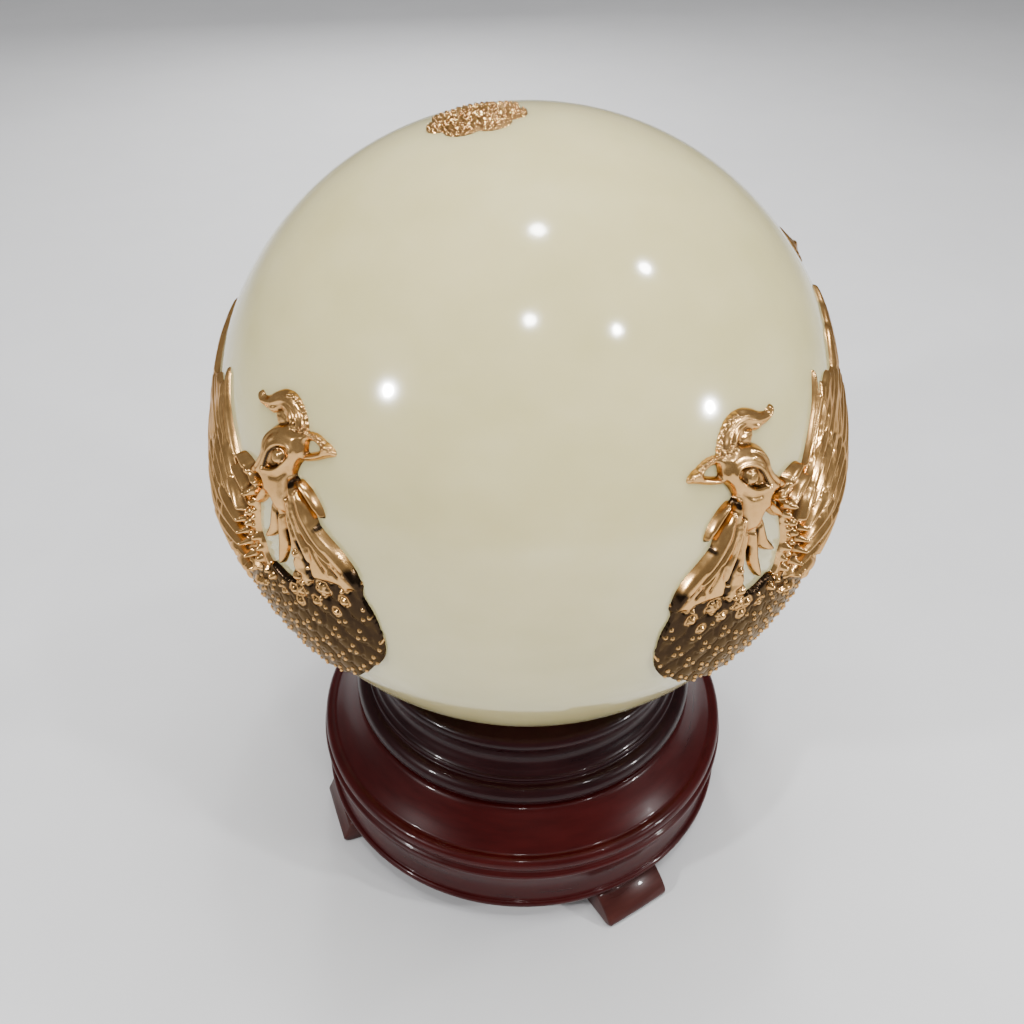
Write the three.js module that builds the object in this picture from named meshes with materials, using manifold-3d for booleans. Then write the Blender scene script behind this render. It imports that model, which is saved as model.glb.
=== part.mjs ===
// A polished jade ball with two gilt phoenix mounts and a gilt rosette, on a round lacquered stand.
// Millimetres, +Z up, the front towards -Y, the origin on the ground under the middle of the ball.
import * as THREE from "three";
import Module from "manifold-3d";
import { mergeVertices } from "three/addons/utils/BufferGeometryUtils.js";

const ballRadius = 75;
const restGap = 0.3; // between pieces that rest on each other
const ballSegments = 32;

// The stand, from the ground up. Heights are above the ground.
const footHeight = 8.5;
const footWidth = 20.5;
const footInnerRadius = 47;
const footHeelRadius = 50; // where its flat sole starts
const toeRounding = 1.6; // from the sole's end to the toe
const toeHeight = 2.4; // where the toe reaches farthest
const toeBulge = 0.6;
const feet = [
  // The way each faces in degrees from the front towards +X, how far it is off its radius, its toe's reach.
  { faces: 34, aside: -3, toe: 65.8 },
  { faces: 112, aside: 3, toe: 62.6 },
  { faces: 214, aside: -3, toe: 65.8 },
  { faces: 292, aside: 3, toe: 62.6 },
];

const standSegments = 25;
const platformRadius = 60; // at the plain band
const bandTop = 22.8;
const bandHollow = 0.5;
const baseBead = 1.2;
const rimBead = 1.2;
const shoulderBead = 2.1;
const shelfRadius = 49.1; // where the collar stands
const shelfHeight = 38.9;

const collarTop = 60.9;
const collarRadius = 45; // at its lip
const collarNeck = 43.4; // the hollow under the lip
const torusRadius = 3.2;
const seatRadius = 23; // the spherical seat in the middle of the collar
const ballCentreHeight = 131.25;

// The gilt mounts lie on the ball. Their places are given in degrees: longitude from the front
// towards +X, and latitude up from the ball's middle.
const mountFloor = 1.15; // how far a broad piece's underside stays off the ball at its corners
const mountDepth = 2; // how far a broad piece reaches into the ball before it is hollowed
const mountSegments = 27;
const leafEdge = 0.6; // height of a leaf's thin edge above the ball
const leafStep = 13; // degrees of a leaf's length between its sections, at most
const leftTurn = 9.3; // how far the left phoenix leans out, in degrees
const turnCentre = [39, -12.8]; // the low point on the breast that it leans about

const rosetteCentre = [-110, 80.5];
const rosetteRadius = 8.4; // degrees
const rosettePetals = 7;
const petalSpot = 0.58 * rosetteRadius; // from the rosette's middle to a petal's
const petalReach = 0.41 * rosetteRadius;
const petalRise = 0.84;
const petalEdge = 1;

const breastCentre = [46, -11];
const breastReach = [29, 20]; // degrees along and across
const breastHeight = 1.9;
const breastEdge = 1.4; // height of its rim
const headEdge = 1.3;
const headRise = 1.7; // of its middle over its rim
const tailPlumes = 3;
const eyeReach = 4.4; // degrees
const eyeEdge = 1.2;
const eyeRise = 0.5;

const scaleRows = 4;
const scaleLength = 5.4; // degrees
const curlCentre = [44, 5]; // the wing's root, which the rows of scales curl round
const curlStart = 184; // degrees round it, from the +X side
const curlArc = 98;
const curlReach = 9; // degrees from it to the first row
const curlStep = 4.4; // between the rows
const scaleWidth = 2.6; // mm each side of its middle
const scaleRise = 1.6;
const scaleSink = 0.9; // how deep a scale's edges lie in the breast

const wasm = await Module();
wasm.setup();

const jade = new THREE.MeshStandardMaterial({ color: 0xd3cfbf, roughness: 0.12, metalness: 0 });
const gilt = new THREE.MeshStandardMaterial({ color: 0xd9a866, roughness: 0.25, metalness: 1 });
const lacquer = new THREE.MeshStandardMaterial({ color: 0x4a0d0c, roughness: 0.2, metalness: 0 });
const darkLacquer = new THREE.MeshStandardMaterial({ color: 0x24080c, roughness: 0.18, metalness: 0 });
const bareWood = new THREE.MeshStandardMaterial({ color: 0x54281f, roughness: 0.4, metalness: 0 });

// A closed geometry as a solid that can be joined and cut.
function solidOf(geometry) {
  const plain = geometry.clone();
  plain.deleteAttribute("normal");
  plain.deleteAttribute("uv");
  const merged = mergeVertices(plain, 1e-4);
  return new wasm.Manifold(
    new wasm.Mesh({
      numProp: 3,
      vertProperties: merged.attributes.position.array,
      triVerts: new Uint32Array(merged.index.array),
    }),
  );
}

function geometryOf(solid) {
  const made = solid.getMesh();
  const points = new Float32Array(made.numVert * 3);
  for (let i = 0; i < made.numVert; i++) {
    points.set(made.vertProperties.subarray(i * made.numProp, i * made.numProp + 3), i * 3);
  }
  const geometry = new THREE.BufferGeometry();
  geometry.setAttribute("position", new THREE.BufferAttribute(points, 3));
  geometry.setIndex(new THREE.BufferAttribute(made.triVerts, 1));
  geometry.computeVertexNormals();
  return geometry;
}

function pieceOf(name, geometry, material) {
  const mesh = new THREE.Mesh(geometry, material);
  mesh.name = name;
  return mesh;
}

// Triangles between points that are laid out in rows, each row closed on itself.
function closedRows(rows) {
  const count = rows[0].length;
  const points = rows.flat();
  const faces = [];
  for (let r = 0; r < rows.length - 1; r++) {
    for (let k = 0; k < count; k++) {
      const next = (k + 1) % count;
      const a = r * count + k;
      const b = r * count + next;
      const c = (r + 1) * count + next;
      const d = (r + 1) * count + k;
      faces.push(a, b, c, a, c, d);
    }
  }
  return { points, faces };
}

function geometryFrom({ points, faces }) {
  const geometry = new THREE.BufferGeometry().setFromPoints(points);
  geometry.setIndex(faces);
  return geometry;
}

// The unit vector from the ball's centre to a place on it.
function towards([lon, lat]) {
  const a = THREE.MathUtils.degToRad(lon);
  const b = THREE.MathUtils.degToRad(lat);
  return new THREE.Vector3(Math.sin(a) * Math.cos(b), -Math.cos(a) * Math.cos(b), Math.sin(b));
}

function mix(a, b, t) {
  return [a[0] + (b[0] - a[0]) * t, a[1] + (b[1] - a[1]) * t];
}

// A place on the smooth curve through the first, middle and last of three places.
function along([first, middle, last], t) {
  const control = [0, 1].map((i) => 2 * middle[i] - (first[i] + last[i]) / 2);
  return mix(mix(first, control, t), mix(control, last, t), t);
}

// A leaf's width along its length, as a share of its greatest. It swells to its belly and rounds to its tip.
function leafShape(t, rootShare, belly) {
  if (t < belly) return rootShare + (1 - rootShare) * Math.sin((Math.PI / 2) * (t / belly));
  return Math.max(0.12, Math.sqrt(1 - ((t - belly) / (1 - belly)) ** 2));
}

// One leaf or feather that lies on the ball along a path: a ridge with two thin edges.
function leaf(path, shape) {
  const { width, crown, rootShare = 0.6, belly = 0.45, edge = () => leafEdge, tipShare = 0.5 } = shape;
  const curve = new THREE.CatmullRomCurve3(path.map(towards), false, "centripetal");
  const degrees = THREE.MathUtils.radToDeg(curve.getLength());
  const steps = Math.max(2, Math.ceil(degrees / leafStep));
  const rows = [];
  for (let s = 0; s <= steps; s++) {
    const t = s / steps;
    const out = curve.getPoint(t).normalize();
    const side = out.clone().cross(curve.getTangent(t)).normalize();
    const half = width * leafShape(t, rootShare, belly);
    const base = edge(out);
    const height = base + (crown - leafEdge) * (1 - (1 - tipShare) * t * t);
    const at = (offset, rise) =>
      out.clone().multiplyScalar(ballRadius).addScaledVector(side, offset).setLength(ballRadius + rise);
    rows.push([at(half, base), at(0, height), at(-half, base)]);
  }
  const { points, faces } = closedRows(rows);
  const last = steps * 3;
  faces.push(0, 2, 1, last, last + 1, last + 2);
  return solidOf(geometryFrom({ points, faces }));
}

// A row of leaves whose roots and tips follow two curves.
function fan(count, roots, tips, bend, shape) {
  const made = [];
  for (let i = 0; i < count; i++) {
    const t = count > 1 ? i / (count - 1) : 0;
    const root = along(roots, t);
    const tip = along(tips, t);
    const middle = mix(root, tip, 0.5);
    const across = [-(tip[1] - root[1]), tip[0] - root[0]];
    const reach = Math.hypot(...across);
    const bow = [middle[0] + (across[0] / reach) * bend, middle[1] + (across[1] / reach) * bend];
    made.push(leaf([root, bow, tip], shape));
  }
  return made;
}

// A low dome on the ball inside a smooth closed outline, with an upright edge.
function dome(outline, centre, heightAt, sides, rings = [1, 0.6], sole = restGap) {
  const middle = towards(centre);
  const curve = new THREE.CatmullRomCurve3(outline.map(towards), true, "centripetal");
  const rim = curve.getPoints(sides).slice(0, sides);
  const ringAt = (share, height) =>
    rim.map((p) => {
      const out = middle.clone().lerp(p, share).normalize();
      return out.setLength(ballRadius + height(out, share));
    });
  const rows = [ringAt(1, () => sole)];
  rings.forEach((share) => rows.push(ringAt(share, heightAt)));
  const { points, faces } = closedRows(rows);
  const top = points.length;
  points.push(middle.clone().setLength(ballRadius + heightAt(middle, 0)));
  points.push(middle.clone().setLength(ballRadius + sole));
  const lastRow = (rows.length - 1) * sides;
  for (let k = 0; k < sides; k++) {
    const next = (k + 1) % sides;
    faces.push(lastRow + k, lastRow + next, top, next, k, top + 1);
  }
  return solidOf(geometryFrom({ points, faces }));
}

// The breast swells like a flattened egg.
function breastRise(out) {
  const lon = THREE.MathUtils.radToDeg(Math.atan2(out.x, -out.y));
  const lat = THREE.MathUtils.radToDeg(Math.asin(out.z));
  const far = Math.hypot(
    (lon - breastCentre[0]) / breastReach[0],
    (lat - breastCentre[1]) / breastReach[1],
  );
  return Math.max(breastEdge, breastHeight * Math.sqrt(Math.max(0, 1 - far * far)));
}

// The space the mounts may fill: all that is outside the ball and a little off it.
const ballSpace = solidOf(
  new THREE.SphereGeometry(ballRadius + mountFloor, mountSegments, mountSegments / 2).rotateX(Math.PI / 2),
);

// A dome too broad for a flat underside: it reaches into the ball, and is hollowed to lie on it.
function broadDome(outline, centre, heightAt, sides) {
  return dome(outline, centre, heightAt, sides, [1, 0.6], -mountDepth).subtract(ballSpace);
}

function mountOf(solids) {
  return geometryOf(solids.reduce((joined, next) => joined.add(next)));
}

function phoenixGeometry() {
  const parts = [];

  // The breast, and its scales in rows that curl round the wing's root.
  const breastOutline = [
    [23.6, 4.5], [21.6, -2.2], [21.1, -8], [22.9, -13.6], [27.2, -18], [35, -24.2], [42, -26.6], [50, -24.6],
    [58, -17.5], [61, -9], [56, -3], [49, 0], [43, -1.3], [38, -1.6], [34.5, 1.5], [28, 6],
  ];
  parts.push(broadDome(breastOutline, [39, -11], breastRise, 16));
  for (let row = 0; row < scaleRows; row++) {
    const reach = curlReach + row * curlStep;
    const count = 2 + row + (row % 2);
    for (let i = 0; i < count; i++) {
      const turn = THREE.MathUtils.degToRad(curlStart + ((i + (row % 2) / 2) * curlArc) / count);
      const step = scaleLength / reach;
      const spot = (angle) => [
        curlCentre[0] + reach * Math.cos(angle),
        curlCentre[1] + reach * Math.sin(angle),
      ];
      parts.push(
        leaf([spot(turn), spot(turn + step / 2), spot(turn + step)], {
          width: scaleWidth,
          crown: leafEdge + scaleRise,
          edge: (out) => breastRise(out) - scaleSink,
          tipShare: 0.8,
        }),
      );
    }
  }

  // The head, its beak, crest, ear loop and wattle.
  const headOutline = [
    [33.6, 17.8], [34.6, 13.2], [37.5, 12.8], [39.8, 14.2], [40.4, 16.4], [42.8, 15.9], [45.4, 16.4],
    [43.2, 18.2], [41, 21], [39.3, 24.5], [35, 25.9], [31.6, 25], [31.3, 21.3],
  ];
  const headDome = (out, share) => headEdge + headRise * Math.sqrt(1 - share * share);
  parts.push(broadDome(headOutline, [37, 20], headDome, 15));
  parts.push(leaf([[35, 20.8], [36.6, 22], [39.2, 21.3], [41, 17.6]], { width: 0.9, crown: 3.7 }));
  parts.push(leaf([[35, 20.4], [36.2, 18.9], [38.6, 17.8], [41, 17.6]], { width: 0.9, crown: 3.5 }));
  parts.push(dome(
    [[37.6, 19.6], [38.5, 20.6], [37.4, 21.4], [36.4, 20.6]], [37.5, 20.5], () => 3.8, 6, [1],
  ));
  parts.push(leaf([[33, 25.4], [34, 28.6], [38, 29.5], [46.2, 28.4]], { width: 2.1, crown: 2.3 }));
  parts.push(leaf([[35, 25.6], [36.6, 27.3], [40.6, 26.5]], { width: 1, crown: 1.9 }));
  parts.push(leaf([[32.6, 25.2], [29, 25.3], [25.8, 23.8]], { width: 0.9, crown: 1.9 }));
  parts.push(leaf([[32.4, 21.4], [29, 22], [25.8, 23.7]], { width: 0.9, crown: 1.8 }));
  parts.push(leaf([[38.8, 14.8], [42, 13], [45, 10.4], [46.5, 9]], { width: 1.1, crown: 2.2 }));

  // The neck and the hackles that hang from it.
  parts.push(leaf([[35.6, 18], [33.2, 12.4], [29.4, 8.6], [26, 6], [23, 2.2]],
    { width: 2.7, crown: 2.9, rootShare: 0.9, tipShare: 0.75 }));
  parts.push(leaf([[34.6, 17], [33.7, 10], [32, 4], [30.4, 1]], { width: 2.2, crown: 2.6, tipShare: 0.9 }));
  parts.push(leaf([[33.6, 18], [31, 16.2], [28.1, 12.9]], { width: 1.3, crown: 2.2 }));
  parts.push(leaf([[33.8, 16.2], [31.8, 14.2], [29.3, 10.8]], { width: 1.3, crown: 2.2 }));
  parts.push(leaf([[36.4, 15], [35.6, 9], [34.8, 3]], { width: 2, crown: 2.6, rootShare: 0.8 }));
  parts.push(leaf([[37.2, 14], [37.4, 8.6], [39.6, 1.6]], { width: 1.2, crown: 2.1, rootShare: 0.8 }));
  parts.push(leaf([[38.3, 14.2], [39.4, 10], [42.3, 5.7]], { width: 1, crown: 2, rootShare: 0.8 }));

  // The wing: long flight feathers, two rows of coverts over them, and the scaled front edge.
  parts.push(...fan(6, [[51, 14.6], [56, 5.5], [56, -6]], [[61.6, 27.6], [77, 21], [85, -3]], 1.2,
    { width: 3.7, crown: 3.4, belly: 0.7, rootShare: 0.5 }));
  parts.push(leaf([[64, 12], [76, 23], [87, 31]], { width: 3, crown: 2.6, belly: 0.7, rootShare: 0.5 }));
  parts.push(...fan(4, [[48.5, 12], [51.5, 5], [51.5, -6]], [[59, 19], [67, 11], [70, -6]], 0.8,
    { width: 3, crown: 3.7, belly: 0.6 }));
  parts.push(...fan(4, [[44.4, 14.2], [46.6, 8.5], [46, -0.5]], [[52.4, 16.2], [55, 11], [57, 0.5]], -0.8,
    { width: 2.3, crown: 3.6 }));
  parts.push(...fan(3, [[43.4, 12], [44.6, 6.5], [43.6, 0.5]], [[49.6, 8.6], [52, 3], [48.4, -4]], 0,
    { width: 2.4, crown: 3 }));

  // The tail sweeps round to the back and upwards, in long plumes that end in eyes.
  const tailLines = [
    [[56, -4], [55.5, -10], [53, -16]],
    [[78, -7], [83, -15], [80, -22]],
    [[98, 4], [110, -8], [108, -22]],
    [[109, 20], [130, 8], [133, -14]],
    [[101, 34.6], [132, 22], [145, -5]],
  ];
  for (let i = 0; i < tailPlumes; i++) {
    const path = tailLines.map((line) => along(line, i / (tailPlumes - 1)));
    parts.push(leaf(path, { width: 3, crown: 1.9, rootShare: 1, belly: 0.5, tipShare: 0.7 }));
    const eye = path[path.length - 1];
    const rim = [0, 1, 2, 3].map((k) => {
      const a = (k * Math.PI) / 2 + Math.PI / 4;
      return [eye[0] + (eyeReach / Math.cos(THREE.MathUtils.degToRad(eye[1]))) * Math.cos(a),
        eye[1] + eyeReach * Math.sin(a)];
    });
    const eyeHeight = (out, share) => eyeEdge + eyeRise * Math.sqrt(1 - share * share);
    parts.push(dome(rim, eye, eyeHeight, 8, [1, 0.5]));
  }
  return mountOf(parts);
}

// The same geometry seen in a mirror that stands on the middle plane of the ball.
function mirrored(geometry) {
  const flipped = geometry.clone().scale(-1, 1, 1);
  const index = flipped.index.array;
  for (let i = 0; i < index.length; i += 3) {
    const kept = index[i + 1];
    index[i + 1] = index[i + 2];
    index[i + 2] = kept;
  }
  flipped.computeVertexNormals();
  return flipped;
}

function rosetteGeometry() {
  const middle = towards(rosetteCentre);
  const north = new THREE.Vector3(0, 0, 1).addScaledVector(middle, -middle.z).normalize();
  const east = north.clone().cross(middle);
  const place = (angle, degrees) => {
    const reach = Math.tan(THREE.MathUtils.degToRad(degrees));
    const p = middle.clone().addScaledVector(east, reach * Math.cos(angle));
    p.addScaledVector(north, reach * Math.sin(angle)).normalize();
    return [
      THREE.MathUtils.radToDeg(Math.atan2(p.x, -p.y)),
      THREE.MathUtils.radToDeg(Math.asin(p.z)),
    ];
  };
  const petalDome = (out, share) => petalEdge + petalRise * (1 - share * share);
  const parts = [];
  for (let i = 0; i < rosettePetals; i++) {
    const turn = (i * 2 * Math.PI) / rosettePetals;
    const petal = [0, 1, 2, 3, 4, 5].map((k) => {
      const a = (k * Math.PI) / 3;
      const out = [petalSpot + petalReach * Math.cos(a), petalReach * Math.sin(a)];
      return place(turn + Math.atan2(out[1], out[0]), Math.hypot(...out));
    });
    parts.push(dome(petal, place(turn, petalSpot), petalDome, 7, [1, 0.5]));
  }
  const heart = [0, 1, 2, 3, 4, 5].map((k) => place((k * Math.PI) / 3, petalReach));
  parts.push(dome(heart, rosetteCentre, (out, share) => petalDome(out, share) + 0.2, 9, [1, 0.5]));
  return mountOf(parts);
}

// An arc of a moulding's profile, as points of radius and height.
function arc(radius, height, size, from, to, steps) {
  const points = [];
  for (let i = 0; i <= steps; i++) {
    const a = THREE.MathUtils.degToRad(from + ((to - from) * i) / steps);
    points.push(new THREE.Vector2(radius + size * Math.cos(a), height + size * Math.sin(a)));
  }
  return points;
}

// A turned piece: the profile goes from the axis at the bottom, round the outside, to the axis at the top.
function turned(profile) {
  return new THREE.LatheGeometry(profile, standSegments).rotateX(Math.PI / 2);
}

function platformGeometry() {
  const bottom = footHeight + restGap;
  const point = (radius, height) => new THREE.Vector2(radius, height);
  return turned([
    point(0, bottom),
    ...arc(platformRadius, bottom + baseBead, baseBead, -90, 75, 2),
    point(platformRadius - bandHollow, (bottom + bandTop) / 2 + 1),
    ...arc(platformRadius + 0.2, bandTop + rimBead, rimBead, -75, 90, 2),
    ...arc(platformRadius - 1.3, bandTop + 2 * rimBead + shoulderBead + 0.3, shoulderBead, -50, 115, 3),
    point((platformRadius + shelfRadius) / 2 - 0.8, (shelfHeight + bandTop) / 2 + 2.6),
    point(shelfRadius + 0.6, shelfHeight - 0.4),
    point(shelfRadius - 0.2, shelfHeight),
    point(0, shelfHeight),
  ]);
}

function collarGeometry() {
  const bottom = shelfHeight + restGap;
  const torusHeight = bottom + torusRadius;
  const seat = [];
  const seatSphere = ballRadius + restGap;
  for (let i = 0; i <= 3; i++) {
    const radius = seatRadius * (1 - i / 3);
    seat.push(new THREE.Vector2(radius, ballCentreHeight - Math.sqrt(seatSphere ** 2 - radius ** 2) - 0.05));
  }
  const point = (radius, height) => new THREE.Vector2(radius, height);
  const filletRadius = collarRadius + 0.6;
  return turned([
    point(0, bottom),
    ...arc(collarRadius + 1.7, torusHeight, torusRadius, -80, 90, 4),
    point(filletRadius + 0.5, torusHeight + torusRadius + 0.2),
    point(filletRadius, torusHeight + torusRadius + 1.2),
    point(collarRadius, collarTop - 11.2),
    point(collarNeck, collarTop - 9.4),
    point(collarNeck + 0.1, collarTop - 4.6),
    ...arc(collarRadius - 1.4, collarTop - 1.9, 1.9, -20, 100, 3),
    ...seat,
  ]);
}

// A bracket foot: its side view, drawn out along the rim, with a flat sole and a rolled toe.
function footGeometry(toe, aside) {
  const side = new THREE.Shape();
  side.moveTo(footHeelRadius, 0);
  side.lineTo(toe - toeRounding, 0);
  side.quadraticCurveTo(toe + toeBulge, 0.5, toe, toeHeight);
  side.quadraticCurveTo(toe - toeRounding, 5.2, platformRadius + 0.4, footHeight - 0.6);
  side.lineTo(platformRadius - 1, footHeight);
  side.lineTo(footInnerRadius, footHeight);
  side.quadraticCurveTo(footInnerRadius + 0.2, 2.5, footHeelRadius, 0);
  const drawn = new THREE.ExtrudeGeometry(side, { depth: footWidth, bevelEnabled: false, curveSegments: 4 });
  return drawn.translate(0, 0, -footWidth / 2).rotateX(Math.PI / 2).translate(0, aside, 0);
}

function standGroup() {
  const stand = new THREE.Group();
  feet.forEach(({ faces, aside, toe }, i) => {
    const foot = pieceOf("stand_foot_" + (i + 1), footGeometry(toe, aside), bareWood);
    foot.rotation.z = THREE.MathUtils.degToRad(faces - 90);
    stand.add(foot);
  });
  stand.add(pieceOf("stand_platform", platformGeometry(), lacquer));
  stand.add(pieceOf("stand_collar", collarGeometry(), darkLacquer));
  return stand;
}

function ballGroup() {
  const group = new THREE.Group();
  group.position.z = ballCentreHeight;
  const ball = new THREE.SphereGeometry(ballRadius, ballSegments, ballSegments / 2).rotateX(Math.PI / 2);
  group.add(pieceOf("jade_ball", geometryOf(solidOf(ball)), jade));
  const phoenix = phoenixGeometry();
  group.add(pieceOf("phoenix_right", phoenix, gilt));
  const left = pieceOf("phoenix_left", mirrored(phoenix), gilt);
  const leanAxis = towards([-turnCentre[0], turnCentre[1]]);
  left.quaternion.setFromAxisAngle(leanAxis, THREE.MathUtils.degToRad(leftTurn));
  group.add(left);
  group.add(pieceOf("top_rosette", rosetteGeometry(), gilt));
  return group;
}

const part = new THREE.Group();
part.add(standGroup());
part.add(ballGroup());
export default part;
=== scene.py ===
import bpy
import numpy as np
from mathutils import Matrix, Vector


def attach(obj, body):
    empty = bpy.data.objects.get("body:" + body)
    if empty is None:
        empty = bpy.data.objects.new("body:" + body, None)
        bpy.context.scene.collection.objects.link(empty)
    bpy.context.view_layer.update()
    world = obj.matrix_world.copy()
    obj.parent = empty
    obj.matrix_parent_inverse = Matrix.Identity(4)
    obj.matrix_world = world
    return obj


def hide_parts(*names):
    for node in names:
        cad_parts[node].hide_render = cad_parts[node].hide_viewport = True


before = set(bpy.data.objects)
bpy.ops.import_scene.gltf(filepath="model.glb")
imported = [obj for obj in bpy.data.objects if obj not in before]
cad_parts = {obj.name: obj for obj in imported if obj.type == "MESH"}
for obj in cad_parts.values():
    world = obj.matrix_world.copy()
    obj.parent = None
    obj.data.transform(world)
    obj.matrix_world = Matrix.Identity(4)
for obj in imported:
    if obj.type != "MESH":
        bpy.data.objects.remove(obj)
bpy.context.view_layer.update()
mm = 0.001  # the sizes below are in millimetres, and the scene is in metres

ball = {
    "radius": 75.0,
    "middle": 131.25,  # height above the ground
    "rings": 120,
    "rounds": 240,
}


def turned(degrees, axis):
    return Matrix.Rotation(np.radians(degrees), 4, axis)


def linked(tree, fromSocket, toSocket):
    tree.links.new(fromSocket, toSocket)


def newMaterial(name, **values):
    # A Principled material; values are set on the shader's own sockets.
    material = bpy.data.materials.new(name)
    material.use_nodes = True
    shader = material.node_tree.nodes["Principled BSDF"]
    for key, value in values.items():
        shader.inputs[key.replace("_", " ")].default_value = value
    return material, material.node_tree, shader


mottleMix = {
    "finer": 4.3,  # how many times finer the fine noise is
    "fineShare": 0.35,
    "broadDetail": 3,
    "fineDetail": 4,
}


def mottleGroup():
    # Two sizes of noise on object coordinates: mask = (1 - fineShare) * broad + fineShare * fine
    group = bpy.data.node_groups.new("mottle", "ShaderNodeTree")
    for name, kind, start in (
        ("Stretch", "NodeSocketVector", (1, 1, 1)),
        ("Scale", "NodeSocketFloat", 40.0),
    ):
        group.interface.new_socket(name, in_out="INPUT", socket_type=kind).default_value = start
    group.interface.new_socket("Mask", in_out="OUTPUT", socket_type="NodeSocketFloat")
    nodes = group.nodes
    given, made = nodes.new("NodeGroupInput"), nodes.new("NodeGroupOutput")
    coordinates = nodes.new("ShaderNodeTexCoord")
    stretched = nodes.new("ShaderNodeVectorMath")
    stretched.operation = "MULTIPLY"
    linked(group, coordinates.outputs["Object"], stretched.inputs[0])
    linked(group, given.outputs["Stretch"], stretched.inputs[1])
    finer = nodes.new("ShaderNodeMath")
    finer.operation = "MULTIPLY"
    finer.inputs[1].default_value = mottleMix["finer"]
    linked(group, given.outputs["Scale"], finer.inputs[0])
    broad, fine = nodes.new("ShaderNodeTexNoise"), nodes.new("ShaderNodeTexNoise")
    broad.inputs["Detail"].default_value = mottleMix["broadDetail"]
    fine.inputs["Detail"].default_value = mottleMix["fineDetail"]
    for noise, scale in ((broad, given.outputs["Scale"]), (fine, finer.outputs[0])):
        linked(group, stretched.outputs[0], noise.inputs["Vector"])
        linked(group, scale, noise.inputs["Scale"])
    both = nodes.new("ShaderNodeMix")
    both.inputs["Factor"].default_value = mottleMix["fineShare"]
    linked(group, broad.outputs["Fac"], both.inputs["A"])
    linked(group, fine.outputs["Fac"], both.inputs["B"])
    linked(group, both.outputs["Result"], made.inputs["Mask"])
    return group


mottle = mottleGroup()


def addMottle(tree, scale, stretch=(1, 1, 1)):
    node = tree.nodes.new("ShaderNodeGroup")
    node.node_tree = mottle
    node.inputs["Scale"].default_value = scale
    node.inputs["Stretch"].default_value = stretch
    return node.outputs["Mask"]


def addRamp(tree, source, *stops):
    # Colours or greys at positions along 0 to 1.
    ramp = tree.nodes.new("ShaderNodeValToRGB")
    elements = ramp.color_ramp.elements
    for number, (position, colour) in enumerate(stops):
        stop = elements[number] if number < len(elements) else elements.new(position)
        stop.position = position
        stop.color = (*colour, 1) if isinstance(colour, tuple) else (colour, colour, colour, 1)
    linked(tree, source, ramp.inputs["Fac"])
    return ramp.outputs["Color"]


def addBump(tree, shader, source, height, strength):
    # The height is in millimetres.
    bump = tree.nodes.new("ShaderNodeBump")
    bump.inputs["Distance"].default_value = height * mm
    bump.inputs["Strength"].default_value = strength
    linked(tree, source, bump.inputs["Height"])
    linked(tree, bump.outputs["Normal"], shader.inputs["Normal"])


# Materials

jadeLook = {
    "clouds": 14,  # scale of the mottle
    "stretch": (1, 1, 1.6),
    "shades": (
        (0.3, (0.52, 0.465, 0.215)),
        (0.52, (0.60, 0.535, 0.27)),
        (0.72, (0.67, 0.60, 0.33)),
    ),
    "roughness": ((0.3, 0.09), (0.7, 0.15)),
}


def jadeMaterial():
    look = jadeLook
    material, tree, shader = newMaterial(
        "jade", IOR=1.62, Subsurface_Weight=0.4, Subsurface_Radius=(1.0, 0.95, 0.72), Subsurface_Scale=0.012,
        Coat_Weight=0.5, Coat_Roughness=0.02,
    )
    clouds = addMottle(tree, look["clouds"], look["stretch"])
    linked(tree, addRamp(tree, clouds, *look["shades"]), shader.inputs["Base Color"])
    linked(tree, addRamp(tree, clouds, *look["roughness"]), shader.inputs["Roughness"])
    return material


giltLook = {
    "wear": 220,
    "shades": ((0.3, (0.68, 0.37, 0.125)), (0.7, (0.86, 0.51, 0.20))),
    "roughness": ((0.3, 0.16), (0.7, 0.27)),
    "bump": (0.1, 0.4),  # height in millimetres, and strength
    "paintedShades": (
        # painted shade: the attribute, the values where the dark starts and is full, and its colour
        # painted shade in the dips of the relief
        ("hollow", 0.5, 0.8, (0.17, 0.065, 0.018, 1)),
        # painted shade on the breast, in the folds and round the eye
        ("paintedShade", 0.1, 0.9, (0.042, 0.026, 0.015, 1)),
    ),
}


def giltMaterial():
    # Bright on the heights, with painted shade: brown in the dips, and dark brown on the breast, in the
    # folds and round the eye.
    look = giltLook
    material, tree, shader = newMaterial("gilt", Metallic=1.0, Specular_Tint=(0.85, 0.72, 0.58, 1))
    wear = addMottle(tree, look["wear"])
    shade = addRamp(tree, wear, *look["shades"])
    for name, start, full, colour in look["paintedShades"]:
        given = tree.nodes.new("ShaderNodeAttribute")
        given.attribute_name = name
        mixed = tree.nodes.new("ShaderNodeMix")
        mixed.data_type = "RGBA"
        mixed.inputs[7].default_value = colour
        linked(tree, addRamp(tree, given.outputs["Fac"], (start, 0.0), (full, 1.0)), mixed.inputs[0])
        linked(tree, shade, mixed.inputs[6])
        shade = mixed.outputs[2]
    linked(tree, shade, shader.inputs["Base Color"])
    linked(tree, addRamp(tree, wear, *look["roughness"]), shader.inputs["Roughness"])
    addBump(tree, shader, wear, *look["bump"])
    return material


lacquerLooks = {
    # the darkest and the lightest colour, and the weight of the clear coat
    "lacquer": ((0.022, 0.001, 0.001), (0.042, 0.0022, 0.002), 0.24),
    "darkLacquer": ((0.007, 0.001, 0.0015), (0.018, 0.0025, 0.003), 0.24),
    "stainedWood": ((0.026, 0.006, 0.005), (0.055, 0.014, 0.011), 0.2),
}
woodGrain = {
    "scale": 30,
    "stretch": (1, 1, 7),
    "darkest": 0.32,  # place on the mottle, and of the lightest too
    "lightest": 0.68,
    "roughness": ((0.3, 0.25), (0.7, 0.38)),
    "bump": (0.05, 0.35),  # height in millimetres, and strength
}


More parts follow.
